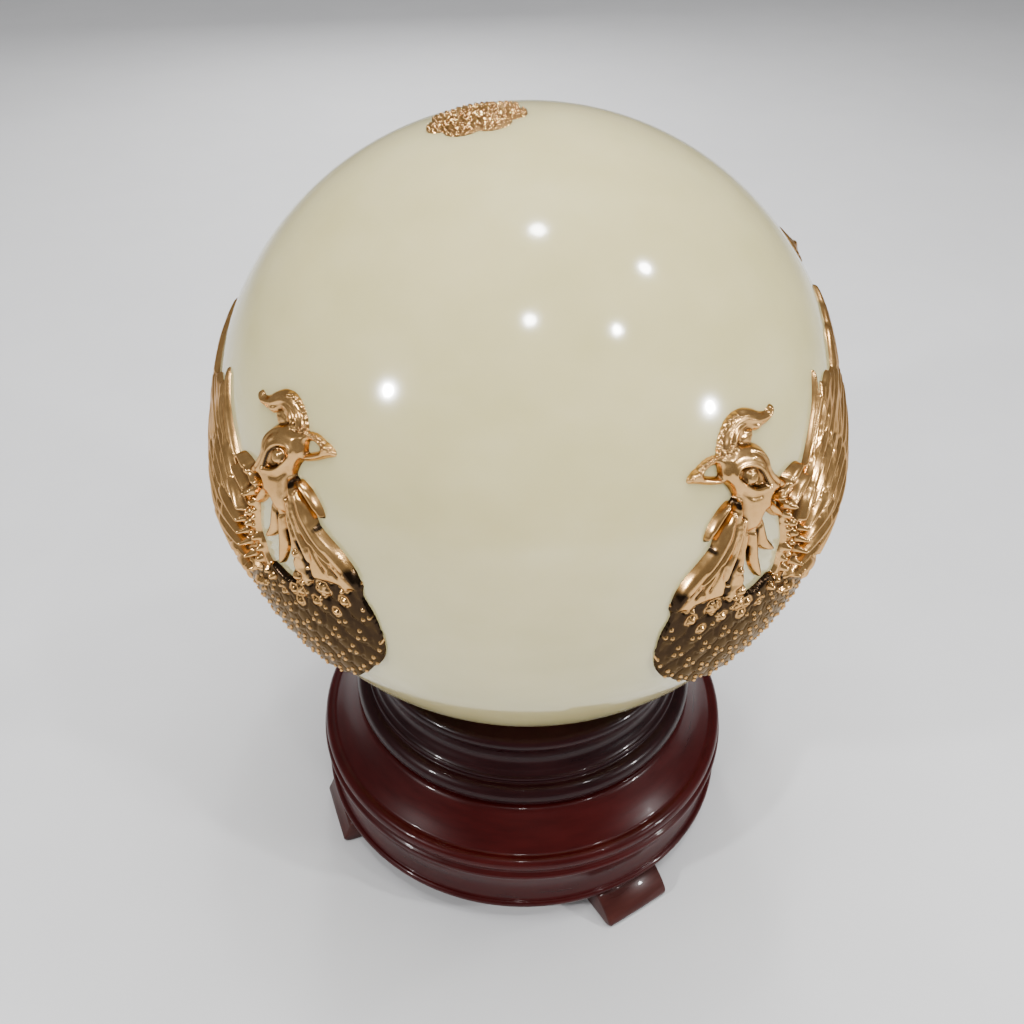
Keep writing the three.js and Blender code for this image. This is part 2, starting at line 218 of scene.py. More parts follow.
def lacquerMaterial(name):
    darkColour, lightColour, coat = lacquerLooks[name]
    look = woodGrain
    material, tree, shader = newMaterial(name, Coat_Weight=coat, Coat_Roughness=0.05, Coat_IOR=1.4, IOR=1.22)
    grain = addMottle(tree, look["scale"], look["stretch"])
    colour = addRamp(tree, grain, (look["darkest"], darkColour), (look["lightest"], lightColour))
    linked(tree, colour, shader.inputs["Base Color"])
    linked(tree, addRamp(tree, grain, *look["roughness"]), shader.inputs["Roughness"])
    addBump(tree, shader, grain, *look["bump"])
    return material


jade = jadeMaterial()
gilt = giltMaterial()
lacquer = lacquerMaterial("lacquer")
darkLacquer = lacquerMaterial("darkLacquer")
stainedWood = lacquerMaterial("stainedWood")


# Meshes

def meshPiece(name, points, faceGroups, material):
    # Points are in millimetres, and a face group has one row of corner numbers for each face.
    # Points that no face uses drop out.
    used, corners = np.unique(np.concatenate([g.ravel() for g in faceGroups]), return_inverse=True)
    sizes = np.concatenate([np.full(len(g), g.shape[1]) for g in faceGroups])
    mesh = bpy.data.meshes.new(name)
    mesh.vertices.add(len(used))
    mesh.vertices.foreach_set("co", (points[used] * mm).astype(np.float32).ravel())
    mesh.loops.add(len(corners))
    mesh.loops.foreach_set("vertex_index", corners.astype(np.int32).ravel())
    mesh.polygons.add(len(sizes))
    mesh.polygons.foreach_set("loop_start", (np.cumsum(sizes) - sizes).astype(np.int32))
    mesh.update(calc_edges=True)
    mesh.shade_smooth()
    mesh.materials.append(material)
    piece = bpy.data.objects.new(name, mesh)
    bpy.context.collection.objects.link(piece)
    return piece, used


def place(piece, slotName, *nodes):
    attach(piece, "root")
    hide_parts(*nodes)


def turnedPiece(name, profile, rounds, material):
    # The profile (radius, height) from the axis round to the axis; (r, z) -> (r sin a, -r cos a, z)
    profile = np.asarray(profile)
    a = np.linspace(0, 2 * np.pi, rounds, endpoint=False)
    radius, height = profile[1:-1, :1], profile[1:-1, 1:]
    ring = np.stack([radius * np.sin(a), -radius * np.cos(a), height + 0 * a], -1).reshape(-1, 3)
    points = np.vstack([ring, [[0, 0, profile[0, 1]], [0, 0, profile[-1, 1]]]])
    rows = len(profile) - 2
    number = np.arange(rows * rounds).reshape(rows, rounds)
    after = np.roll(number, -1, axis=1)
    quads = np.stack([number[:-1], after[:-1], after[1:], number[1:]], -1).reshape(-1, 4)
    low, high = rows * rounds, rows * rounds + 1
    lowCap = np.stack([np.full(rounds, low), after[0], number[0]], -1)
    highCap = np.stack([number[-1], after[-1], np.full(rounds, high)], -1)
    return meshPiece(name, points, [quads, lowCap, highCap], material)[0]


def arc(radius, height, size, start, end, steps=10):
    # (radius + size cos a, height + size sin a), for a from start to end in degrees
    a = np.radians(np.linspace(start, end, steps))
    return np.stack([radius + size * np.cos(a), height + size * np.sin(a)], -1)


# The ball and the stand

def jadeBall():
    # A half circle turned round: (R cos a, middle + R sin a), for a from -90 to 90 degrees
    a = np.radians(np.linspace(-90, 90, ball["rings"] + 1))
    profile = np.stack([ball["radius"] * np.cos(a), ball["middle"] + ball["radius"] * np.sin(a)], -1)
    piece = turnedPiece("polishedBall", profile, ball["rounds"], jade)
    place(piece, "jade", "jade_ball")


stand = {
    "rounds": 160,
    "gap": 0.3,  # between pieces that rest on each other
    "footHeight": 8.5,
    "platformRadius": 60.0,  # at its plain band
    "baseRim": 0.6,  # how far the flat underside ends inside that
    "baseBead": 1.2,
    "bandTop": 22.8,
    "bandEdge": 0.1,  # how far its ends lie inside the platform's radius
    "bandFoot": 2.3,  # its lower end, above the underside
    "bandHead": 0.3,  # its upper end, below its top
    "bandHollow": 0.9,
    "bandBelly": 1.0,  # how far above its middle it is deepest
    "rimBead": 1.2,
    "rimOut": 0.2,
    "shoulderBead": 2.1,
    "shoulderIn": 1.3,
    "shoulderGap": 0.3,
    "slopeStart": (2.3, 2.0),  # inside the band, and above the shoulder's middle
    "slopeBow": (0.8, 2.6),  # of its middle: inwards and up
    "slopeEnd": (0.6, 0.4),  # outside the shelf's edge, and below it
    "shelfRadius": 49.1,  # where the collar stands
    "shelfHeight": 38.9,
    "shelfRounding": 0.2,
}


def smoothRun(points, steps=8):
    # A rounded line through a few profile points: Catmull-Rom, each stretch cut in steps.
    return curveThrough(points, (len(points) - 1) * steps + 1)


def platform():
    # From the underside out and up to the shelf: bead, hollow band, bead, shoulder and slope.
    s = stand
    bottom = s["footHeight"] + s["gap"]
    radius, top = s["platformRadius"], s["bandTop"]
    shelf, shelfHeight = s["shelfRadius"], s["shelfHeight"]
    edge = radius - s["bandEdge"]
    band = [
        (edge, bottom + s["bandFoot"]),
        (radius - s["bandHollow"], (bottom + top) / 2 + s["bandBelly"]),
        (edge, top - s["bandHead"]),
    ]
    shoulder = top + 2 * s["rimBead"] + s["shoulderBead"] + s["shoulderGap"]
    (startIn, startUp), (bowIn, bowUp), (endOut, endDown) = s["slopeStart"], s["slopeBow"], s["slopeEnd"]
    slope = [
        (radius - startIn, shoulder + startUp),
        ((radius + shelf) / 2 - bowIn, (shelfHeight + top) / 2 + bowUp),
        (shelf + endOut, shelfHeight - endDown),
    ]
    profile = np.vstack([
        [(0, bottom), (radius - s["baseRim"], bottom)],
        arc(radius, bottom + s["baseBead"], s["baseBead"], start=-85, end=80),
        smoothRun(band),
        arc(radius + s["rimOut"], top + s["rimBead"], s["rimBead"], start=-70, end=75),
        arc(radius - s["shoulderIn"], shoulder, s["shoulderBead"], start=-50, end=105),
        smoothRun(slope),
        [(shelf - s["shelfRounding"], shelfHeight), (0, shelfHeight)],
    ])
    place(turnedPiece("platform", profile, s["rounds"], lacquer), "lacquer", "stand_platform")


dishedCollar = {
    "top": 60.9,
    "radius": 45.0,
    "neck": 43.4,  # radius of the hollow under the lip
    "torus": 3.2,
    "torusOut": 1.7,
    "soleOut": 1.2,
    "fillet": ((1.3, 0.1), (1.1, 0.5)),  # outside the collar's radius, and above the torus
    "fineBead": (0.6, 1.3, 0.7),  # the same two measures of its middle, and its own radius
    "waist": ((0.1, 9.4), (0.0, 6.6), (0.4, 4.2)),  # outside the neck, and below the top
    "waistStart": 11.6,
    "lip": 1.9,
    "lipOut": 0.5,
    "seatRadius": 23.0,
    "seatSteps": 12,
    "seatDrop": 0.05,
}


def collar():
    # From the underside out and up: torus, fillet, fine bead, waist and lip, and then the dished seat,
    # at middle - sqrt((R + gap)^2 - r^2) less its drop.
    s = dishedCollar
    bottom = stand["shelfHeight"] + stand["gap"]
    torus, top, radius, lip = s["torus"], s["top"], s["radius"], s["lip"]
    above = bottom + 2 * torus
    beadOut, beadUp, beadSize = s["fineBead"]
    seat = np.linspace(s["seatRadius"], 0, s["seatSteps"])
    seatHeight = ball["middle"] - np.sqrt((ball["radius"] + stand["gap"]) ** 2 - seat ** 2) - s["seatDrop"]
    waist = [(radius, top - s["waistStart"])] + [(s["neck"] + out, top - down) for out, down in s["waist"]]
    profile = np.vstack([
        [(0, bottom), (radius + s["soleOut"], bottom)],
        arc(radius + s["torusOut"], bottom + torus, torus, start=-80, end=90, steps=16),
        [(radius + out, above + up) for out, up in s["fillet"]],
        arc(radius + beadOut, above + beadUp, beadSize, start=-40, end=90, steps=8),
        smoothRun(waist),
        arc(radius - lip + s["lipOut"], top - lip, lip, start=-40, end=100, steps=16),
        np.stack([seat, seatHeight], -1),
    ])
    place(turnedPiece("collar", profile, stand["rounds"], darkLacquer), "dark_lacquer", "stand_collar")


feet = {
    # the way each faces in degrees from the front towards +X, how far it is off its radius, its toe's reach
    "places": ((34, -3, 65.8), (112, 3, 62.6), (214, -3, 65.8), (292, 3, 62.6)),
    "width": 20.5,
    "inner": 47.0,
    "heel": 50.0,  # where its flat sole starts
    "toeRounding": 1.6,  # from the sole's end to the toe
    "toeHeight": 2.4,
    "toeBulge": (0.6, 0.5),  # the lower curve's control point: past the toe, and above the ground
    "instep": (1.6, 5.2),  # the upper curve's: short of the toe, and above the ground
    "browOut": 0.4,  # the upper curve's end: outside the platform's radius, and below the foot's top
    "browDown": 0.6,
    "topIn": 1.0,  # where its flat top starts, inside the platform's radius
    "innerBow": (0.2, 2.5),  # the rear curve's control point: outside the inner radius, above the ground
    "rounding": 1.0,  # of its two ends
    "sections": 9,  # across its width
}


def bend(start, control, end, steps=8):
    # A quadratic curve in a side view: (1 - t)^2 start + 2 t (1 - t) control + t^2 end
    t = np.linspace(0, 1, steps)[:, None]
    start, control, end = (np.array(p, float) for p in (start, control, end))
    return (1 - t) ** 2 * start + 2 * t * (1 - t) * control + t ** 2 * end


def foot(number):
    # Its side view is carried across its width, and drawn in a little towards the two rounded ends.
    f, height, edge = feet, stand["footHeight"], stand["platformRadius"]
    faces, aside, toe = f["places"][number]
    heel, tip = (f["heel"], 0), (toe, f["toeHeight"])
    bulge = (toe + f["toeBulge"][0], f["toeBulge"][1])
    instep = (toe - f["instep"][0], f["instep"][1])
    innerBow = (f["inner"] + f["innerBow"][0], f["innerBow"][1])
    side = np.vstack([
        [heel],
        bend((toe - f["toeRounding"], 0), bulge, tip),
        bend(tip, instep, (edge + f["browOut"], height - f["browDown"]))[1:],
        [(edge - f["topIn"], height)],
        bend((f["inner"], height), innerBow, heel)[:-1],
    ])
    across = np.radians(np.linspace(-90, 90, f["sections"]))
    middle = (side.min(0) + side.max(0)) / 2
    drawn = f["rounding"] * (1 - np.cos(across))
    at = np.sign(across) * (f["width"] / 2 - f["rounding"]) + f["rounding"] * np.sin(across)
    at[len(at) // 2] = 0
    shares = 1 - drawn[:, None, None] / np.abs(side - middle).max(0)
    rows = middle + (side - middle) * shares
    turn = np.radians(faces)
    outward = np.array([np.sin(turn), -np.cos(turn)])
    sideways = np.array([np.cos(turn), np.sin(turn)])
    flat = rows[..., :1] * outward + (at[:, None, None] + aside) * sideways
    points = np.concatenate([flat, rows[..., 1:]], -1)
    count = len(side)
    numbers = np.arange(len(at) * count).reshape(len(at), count)
    after = np.roll(numbers, -1, axis=1)
    quads = np.stack([numbers[:-1], numbers[1:], after[1:], after[:-1]], -1).reshape(-1, 4)
    ends = np.stack([numbers[0], numbers[-1][::-1]])
    piece, _ = meshPiece("footPiece%d" % (number + 1), points.reshape(-1, 3), [quads, ends], stainedWood)
    place(piece, "stained_wood", "stand_foot_%d" % (number + 1))


# Relief on the ball: heights in millimetres over a grid of longitude and latitude

noMetal = -5.0  # the height of the grid where the ball is bare
wall = 2.6  # steepness of every edge
fineness = 6  # how finely a line through places is drawn: its points for each place
spare = 2  # millimetres of the grid that are worked on round each form


def towards(lon, lat):
    # (lon, lat) -> (sin lon cos lat, -cos lon cos lat, sin lat)
    lon, lat = np.radians(lon), np.radians(lat)
    return np.stack([np.sin(lon) * np.cos(lat), -np.cos(lon) * np.cos(lat), np.sin(lat)], -1)


def curveThrough(points, count, closed=False):
    # Catmull-Rom: p = (2b + (c - a) t + (2a - 5b + 4c - d) t^2 + (3b - a - 3c + d) t^3) / 2,
    # for t from 0 to 1 between b and c
    p = np.array(points, float)
    if closed:
        padded = np.vstack([p[-1:], p, p[:2]])
        stretches = len(p)
    else:
        padded = np.vstack([2 * p[:1] - p[1:2], p, 2 * p[-1:] - p[-2:-1]])
        stretches = len(p) - 1
    s = np.linspace(0, stretches, count, endpoint=not closed)
    k = np.minimum(s.astype(int), stretches - 1)
    t = (s - k)[:, None]
    a, b, c, d = (padded[k + i] for i in range(4))
    square, cube = 2 * a - 5 * b + 4 * c - d, 3 * b - a - 3 * c + d
    return (2 * b + (c - a) * t + square * t ** 2 + cube * t ** 3) / 2


def newSheet(lonAxis, latAxis):
    # Height is above the ball, far below it where there is no metal; the painted shade marks where the
    # gilding is painted dark.
    lon, lat = np.meshgrid(lonAxis, latAxis)
    return {
        "lon": lon,
        "lat": lat,
        "way": towards(lon, lat),
        "height": np.full(lon.shape, noMetal),
        "paintedShade": np.zeros(lon.shape),
    }


def windowOf(sheet, places, reach):
    # The part of the grid within a reach of some places.
    margin = np.degrees(reach / ball["radius"])
    low, high = places.min(0) - margin, places.max(0) + margin
    stretch = margin * (1 / np.cos(np.radians(np.abs([low[1], high[1]]).max())) - 1)
    columns = np.searchsorted(sheet["lon"][0], [low[0] - stretch, high[0] + stretch])
    rows = np.searchsorted(sheet["lat"][:, 0], [low[1], high[1]])
    return slice(*rows), slice(*columns)


def nearest(ways, path):
    # For each way: the distance to a line of short chords, the share of its length there, and the side.
    lengths = np.linalg.norm(np.diff(path, axis=0), axis=1)
    starts = np.cumsum(lengths) - lengths
    far = np.full(ways.shape[:-1], np.inf)
    share, side = np.zeros_like(far), np.ones_like(far)
    for a, b, length, start in zip(path[:-1], path[1:], lengths, starts):
        along = np.clip((ways - a) @ (b - a) / length ** 2, 0, 1)
        gap = ways - a - along[..., None] * (b - a)
        distance = np.linalg.norm(gap, axis=-1)
        closer = distance < far
        far = np.where(closer, distance, far)
        share = np.where(closer, (start + along * length) / lengths.sum(), share)
        side = np.where(closer, np.where(gap @ np.cross(a, b - a) < 0, -1, 1), side)
    return far * ball["radius"], share, side


def fromLine(sheet, places, reach):
    # A window of the grid round a smooth line, with its distance, share and side.
    route = curveThrough(places, fineness * len(places))
    part = windowOf(sheet, route, reach)
    return part, *nearest(sheet["way"][part], towards(*route.T))


def fromSpot(sheet, spot, reach):
    # A window of the grid round a spot, with the distance and the angle about it.
    spot = np.asarray(spot, float)
    part = windowOf(sheet, spot[None], reach)
    lon, lat = np.radians(spot)
    away = (sheet["way"][part] - towards(*spot)) * ball["radius"]
    east = away @ np.array([np.cos(lon), np.sin(lon), 0])
    north = away @ np.array([-np.sin(lon) * np.sin(lat), np.cos(lon) * np.sin(lat), np.cos(lat)])
    return part, np.linalg.norm(away, axis=-1), np.arctan2(north, east)


leafShape = {
    "width": 2.0,  # half its width at the belly
    "tipWidth": 0.06,  # least share of the width
    "crown": 3.0,
    "crownFrom": 0.6,  # the height from which the crown counts
    "root": 0.6,  # share of the width at the root
    "belly": 0.45,
    "edge": 0.5,
    "taper": 0.7,  # share of the crown left at the tip
    "roundness": 0.6,
    "flutes": 0,
    "fluteDepth": 0.35,
    "barbs": 0,
    "barbDepth": 0.2,
    "barbSlant": 0.8,
    "moat": 0.35,  # depth of the groove pressed round the leaf into other metal
    "moatWidth": 0.4,
    "moatFrom": 0.9,  # only where that metal is higher than this
    "over": None,  # the height that the leaf lies on
    "lift": 0.0,  # raises the tip, as on a shingle
}


def leafWidth(share, root, belly):
    # Swells as a sine to the belly, then closes as an ellipse.
    swell = root + (1 - root) * np.sin(np.pi / 2 * np.clip(share / belly, 0, 1))
    close = np.sqrt(np.clip(1 - ((share - belly) / (1 - belly)) ** 2, 0, 1))
    return np.where(share < belly, swell, close)


def leaf(sheet, places, **given):
    # height = edge + over + (crown - crownFrom) (1 - (1 - taper) t^2) (1 - u^2)^roundness + lift t,
    # where t is the share of its length from the root, and u = distance / half width
    s = {**leafShape, **given}
    part, far, share, side = fromLine(sheet, places, s["width"] + spare)
    half = s["width"] * np.maximum(leafWidth(share, s["root"], s["belly"]), s["tipWidth"])
    u = np.clip(far / half, 0, 1)
    under = s["edge"]
    if s["over"]:
        under = under + s["over"](sheet["lon"][part], sheet["lat"][part])
    rise = (s["crown"] - s["crownFrom"]) * (1 - (1 - s["taper"]) * share ** 2)
    inside = under + rise * (1 - u ** 2) ** s["roundness"] + s["lift"] * share
    if s["flutes"]:
        wave = 0.5 - 0.5 * np.cos(2 * np.pi * s["flutes"] * u * side)
        inside -= s["fluteDepth"] * wave * (1 - u ** 2)
    if s["barbs"]:
        wave = 0.5 + 0.5 * np.cos(2 * np.pi * (s["barbs"] * share - s["barbSlant"] * u))
        inside -= s["barbDepth"] * wave * u
    outside = under + s["lift"] * share - wall * (far - half)
    moat = s["moat"] * np.exp(-((far - half) / s["moatWidth"]) ** 2)
    height = sheet["height"][part]
    height = np.where((far > half) & (height > s["moatFrom"]), height - moat, height)
    sheet["height"][part] = np.maximum(height, np.where(far < half, inside, outside))


def leaves(sheet, rows, **shape):
    # Each row is a path, then what differs for that leaf.
    for places, given in rows:
        leaf(sheet, places, **{**shape, **given})


def fan(sheet, count, roots, tips, bow, **shape):
    # Leaves whose roots and tips follow two curves, each leaf bowed sideways in its middle.
    steps = 40 * (len(roots) - 1)
    picked = np.linspace(0, steps, count).round().astype(int)
    for root, tip in zip(curveThrough(roots, steps + 1)[picked], curveThrough(tips, steps + 1)[picked]):
        across = np.array([-(tip - root)[1], (tip - root)[0]])
        middle = (root + tip) / 2 + across / np.linalg.norm(across) * bow
        leaf(sheet, [root, middle, tip], **shape)


def insideOf(line, lon, lat):
    # Even-odd rule along each row of the grid.
    inside = np.zeros(lon.shape, bool)
    for (x1, y1), (x2, y2) in zip(line[:-1], line[1:]):
        if y1 != y2:
            inside ^= ((y1 > lat) != (y2 > lat)) & (lon < (x2 - x1) * (lat - y1) / (y2 - y1) + x1)
    return inside


def fromOutline(sheet, outline, reach):
    # A window of the grid round a smooth closed outline, with the distance to it and what lies inside.
    line = curveThrough(outline, fineness * len(outline), closed=True)
    line = np.vstack([line, line[:1]])
    part = windowOf(sheet, line, reach)
    far = nearest(sheet["way"][part], towards(*line.T))[0]
    return part, far, insideOf(line, sheet["lon"][part], sheet["lat"][part])


def plate(sheet, outline, rise, rounding=1.5, edge=0.8, moat=0.0, moatWidth=0.4, moatFrom=0.9):
    # A broad piece inside a closed outline: height = edge + (rise - edge) (1 - (1 - distance / rounding)^2)
    part, far, inside = fromOutline(sheet, outline, spare)
    top = rise(sheet["lon"][part], sheet["lat"][part]) if callable(rise) else rise
    high = edge + (top - edge) * (1 - (1 - np.clip(far / rounding, 0, 1)) ** 2)
    height = sheet["height"][part]
    groove = moat * np.exp(-(far / moatWidth) ** 2)
    height = np.where(~inside & (height > moatFrom), height - groove, height)
    sheet["height"][part] = np.maximum(height, np.where(inside, high, edge - wall * far))


def hollowOut(sheet, outline, depth, rounding):
    # height -= depth (1 - (1 - distance / rounding)^2) inside a closed outline
    part, far, inside = fromOutline(sheet, outline, spare)
    sheet["height"][part] -= depth * (1 - (1 - np.clip(far / rounding, 0, 1)) ** 2) * inside


def bead(sheet, spot, radius, rise=0.8, moat=0.12, moatWidth=0.25, moatFrom=0.5):
    # A ball end on the surface: height += rise radius (1 - (distance / radius)^4), with a moat round it
    part, far, _ = fromSpot(sheet, spot, radius + 4 * moatWidth)
    height = sheet["height"][part]
    height -= moat * np.exp(-((far - radius) / moatWidth) ** 2) * (height > moatFrom)
    height += rise * radius * np.clip(1 - (far / radius) ** 4, 0, None)


def beads(sheet, places, count, radius, **kind):
    for spot in curveThrough(places, count):
        bead(sheet, spot, radius, **kind)


def ridge(sheet, places, width, rise):
    # height += rise exp(-(distance / width)^2), which is next to nothing past three widths
    part, far, _, _ = fromLine(sheet, places, 3 * width)
    sheet["height"][part] += rise * np.exp(-(far / width) ** 2)


def ridges(sheet, lines, width, rise):
    for places in lines:
        ridge(sheet, places, width, rise)


def ringRidge(sheet, spot, radius, width, rise):
    # height += rise exp(-((distance - radius) / width)^2)
    part, far, _ = fromSpot(sheet, spot, radius + 3 * width)
    sheet["height"][part] += rise * np.exp(-((far - radius) / width) ** 2)


def darken(sheet, places, width):
    # painted shade along a line: at least exp(-(distance / width)^4)
    part, far, _, _ = fromLine(sheet, places, 2 * width)
    sheet["paintedShade"][part] = np.maximum(sheet["paintedShade"][part], np.exp(-(far / width) ** 4))


flowerShape = {
    "petals": 5,
    "base": None,  # height of the flower's ground, or None where it lies on other metal
    "rise": 0.45,
    "petalDepth": 0.35,
    "notch": 0.14,
    "gapStart": 0.3,  # the gaps between the petals, as shares of the radius
    "gapEnd": 1.05,
    "gapFade": 0.15,
    "bud": 0.34,  # its share of the radius
    "budRise": 0.8,
    "moat": 0.55,
    "moatWidth": 0.3,
    "moatFrom": 0.6,
    "turn": 0.3,
}


def flower(sheet, spot, radius, **given):
    # reach = radius (1 - notch w), w = (1 - cos(petals a)) / 2; height += rise (1 - (distance / reach)^4)
    # less petalDepth w^3 along each gap, and a round bud in the middle
    s = {**flowerShape, **given}
    part, far, angle = fromSpot(sheet, spot, radius + spare)
    gapWave = 0.5 - 0.5 * np.cos(s["petals"] * (angle + s["turn"]))
    reach = radius * (1 - s["notch"] * gapWave)
    height = sheet["height"][part]
    if s["base"] is not None:
        ground = np.where(far < reach, s["base"], s["base"] - wall * (far - reach))
        height[:] = np.maximum(height, ground)
    moat = s["moat"] * np.exp(-((far - reach) / s["moatWidth"]) ** 2)
    height -= moat * (far > reach) * (height > s["moatFrom"])
    height += s["rise"] * np.clip(1 - (far / reach) ** 4, 0, None)
    share = far / radius
    gap = s["petalDepth"] * gapWave ** 3
    gap *= np.clip(share / s["gapStart"] - 1, 0, 1)
    gap *= np.clip((s["gapEnd"] - share) / s["gapFade"], 0, 1)
    height -= gap
    if s["bud"]:
        height += s["budRise"] * s["bud"] * radius * np.clip(1 - (share / s["bud"]) ** 2, 0, None)


def blurred(values, reach):
    # The mean over a square, from running sums along each way.
    span = 2 * reach + 1
    for axis in (0, 1):
        padded = np.concatenate([np.repeat(values.take([0], axis), reach + 1, axis), values,
                                 np.repeat(values.take([-1], axis), reach, axis)], axis)
        total = np.cumsum(padded, axis)
        size = values.shape[axis]
        values = (total.take(range(span, span + size), axis) - total.take(range(size), axis)) / span
    return values


casting = {
    "block": 8,  # cells along a big face of the underside
    "dip": -0.35,  # the metal ends where its height falls to this
    "sole": 0.9,  # how far the underside lies within the ball
    "dipReach": 4,  # cells each way over which a hollow is measured
}


def castingFaces(metal):
    # The faces of a closed shell over the cells of the grid that have metal: the top, the underside in
    # small faces and in big ones, and the walls. The underside's corners are numbered after the top's.
    block = casting["block"]
    rows, columns = (size // block * block for size in (metal.shape[0] - 1, metal.shape[1] - 1))
    cells = (metal[:-1, :-1] | metal[1:, :-1] | metal[:-1, 1:] | metal[1:, 1:])[:rows, :columns]
    for _ in range(3):  # fills the cell between two that meet only at a corner
        a, b, c, d = cells[:-1, :-1], cells[:-1, 1:], cells[1:, :-1], cells[1:, 1:]
        slant, counter = a & d & ~b & ~c, b & c & ~a & ~d
        b |= slant
        a |= counter
    width, count = metal.shape[1], metal.size
    corner = np.arange(count).reshape(metal.shape)
    j, i = np.nonzero(cells)
    top = np.stack([corner[j, i], corner[j, i + 1], corner[j + 1, i + 1], corner[j + 1, i]], -1)
    whole = cells.reshape(rows // block, block, columns // block, block).all((1, 3))
    rest = cells & ~whole.repeat(block, 0).repeat(block, 1)
    j, i = np.nonzero(rest)
    under = count + np.stack([corner[j, i], corner[j + 1, i], corner[j + 1, i + 1], corner[j, i + 1]], -1)
    run = np.arange(block)
    rim = np.concatenate([run * width, block * width + run, (block - run) * width + block, block - run])
    j, i = np.nonzero(whole)
    broad = count + corner[j * block, i * block][:, None] + rim
    walls = []
    framed = np.pad(cells, 1)
    for dj, di, first, second in (  # the way to the next cell, and the two corners on that side
        (-1, 0, (0, 0), (0, 1)), (1, 0, (1, 1), (1, 0)), (0, -1, (1, 0), (0, 0)), (0, 1, (0, 1), (1, 1)),
    ):
        j, i = np.nonzero(cells & ~framed[1 + dj:1 + dj + rows, 1 + di:1 + di + columns])
        p, q = corner[j + first[0], i + first[1]], corner[j + second[0], i + second[1]]
        walls.append(np.stack([p, count + p, count + q, q], -1))
    return [top, under, broad, np.vstack(walls)]


def reliefPiece(name, sheet, turn, flip=False):
    # A closed shell: the relief above, and a plain underside just inside the ball.
    height = np.maximum(sheet["height"], -casting["sole"])
    groups = castingFaces(sheet["height"] > casting["dip"])
    ways = sheet["way"].reshape(-1, 3)
    inner = ball["radius"] - casting["sole"]
    points = np.vstack([ways * (ball["radius"] + height.reshape(-1, 1)), ways * inner])
    if flip:
        groups = [g[:, ::-1] for g in groups]
        points = points * (-1, 1, 1)
    points = points @ np.array(turn.to_3x3()).T + (0, 0, ball["middle"])
    piece, used = meshPiece(name, points, groups, gilt)
    # hollow is 0.5 on even ground and more in the dips, where it paints shade; the painted shade marks where
    # the gilding is painted dark
    sunk = np.clip(blurred(height, casting["dipReach"]) - height, -1, 1) * 0.5 + 0.5
    for key, values, below in (("hollow", sunk, 0.5), ("paintedShade", sheet["paintedShade"], 0.0)):
        values = np.concatenate([values.ravel(), np.full(height.size, below)])[used]
        attribute = piece.data.attributes.new(key, "FLOAT", "POINT")
        attribute.data.foreach_set("value", values.astype(np.float32))
    print(name, sum(len(g) * (g.shape[1] - 2) for g in groups), "triangles")
    return piece


phoenix = {
    "lonStretches": ((18, 62, 0.19), (62, 152, 0.45)),  # finer where the photo looks straight at it
    "latStretches": ((-29, 41, 0.2),),
    "breastMiddle": (46, -11),
    "breastReach": (29, 20),
    "breastHeight": 1.6,
    "breastLow": 0.7,  # its least height
    "leftTurn": 9.3,  # degrees that the left one leans out
    "turnCentre": (-39, -12.8),
}


def breastRise(lon, lat):
    # The breast swells like a flattened egg: breastHeight sqrt(1 - across^2 - upwards^2), at least breastLow
    p = phoenix
    across = (lon - p["breastMiddle"][0]) / p["breastReach"][0]
    upwards = (lat - p["breastMiddle"][1]) / p["breastReach"][1]
    egg = np.sqrt(np.clip(1 - np.hypot(across, upwards) ** 2, 0, 1))
    return np.maximum(p["breastLow"], p["breastHeight"] * egg)


def ringOf(spot, reach, count):
    # Places spread evenly round a spot, at a reach in degrees.
    turn = np.linspace(0, 2 * np.pi, count, endpoint=False)
    return spot + reach * np.stack([np.cos(turn), np.sin(turn)], -1)


tail = {
    "plumes": 3,
    # each line crosses the plumes, from the upper one to the lower one
    "lines": (
        ((56, -4), (55.5, -10), (53, -16)),
        ((78, -7), (83, -15), (80, -22)),
        ((98, 4), (110, -8), (108, -22)),
        ((109, 20), (130, 8), (133, -14)),
        ((101, 34.6), (132, 22), (145, -5)),
    ),
    "eyeBeads": 12,
    "eyeRing": 2.8,
}


def addTail(sheet):
    across = [curveThrough(line, tail["plumes"]) for line in tail["lines"]]
    for path in zip(*across):
        leaf(sheet, path, width=2.9, crown=1.3, root=1, belly=0.8, taper=0.9, barbs=52, barbDepth=0.35,
             roundness=1)
        ridge(sheet, path, width=0.45, rise=0.4)
        eye = path[-1]
        flower(sheet, eye, radius=5.3, petals=20, base=0.5, rise=0.2, petalDepth=0.3, notch=0.08, bud=0)
        flower(sheet, eye, radius=3.5, petals=12, rise=0.2, petalDepth=0.2, bud=0, moat=0.3)
        flower(sheet, eye, radius=2.1, petals=1, rise=0.2, petalDepth=0, notch=0, bud=0.3, moat=0.3)
        for spot in ringOf(eye, np.degrees(tail["eyeRing"] / ball["radius"]), tail["eyeBeads"]):
            bead(sheet, spot, radius=0.5)


breastScales = {
    "curlCentre": (45, 4),  # the rows run round it
    "rows": (9.8, 13.4, 17.2, 21.0, 24.8, 28.6),  # degrees from it to each row's tips
    "span": (172, 322),
    "width": 5.2,
    "backs": (5.2, 2.6, 0),  # how far a scale's root and middle lie behind its tip
    "beads": ((1.9, 1.0), (2.1, -1.0), (0.9, 0.0)),  # behind the tip, and aside
    "thinning": (0.6, 1.3),  # the greatest height at the outline, and its growth away from it
}


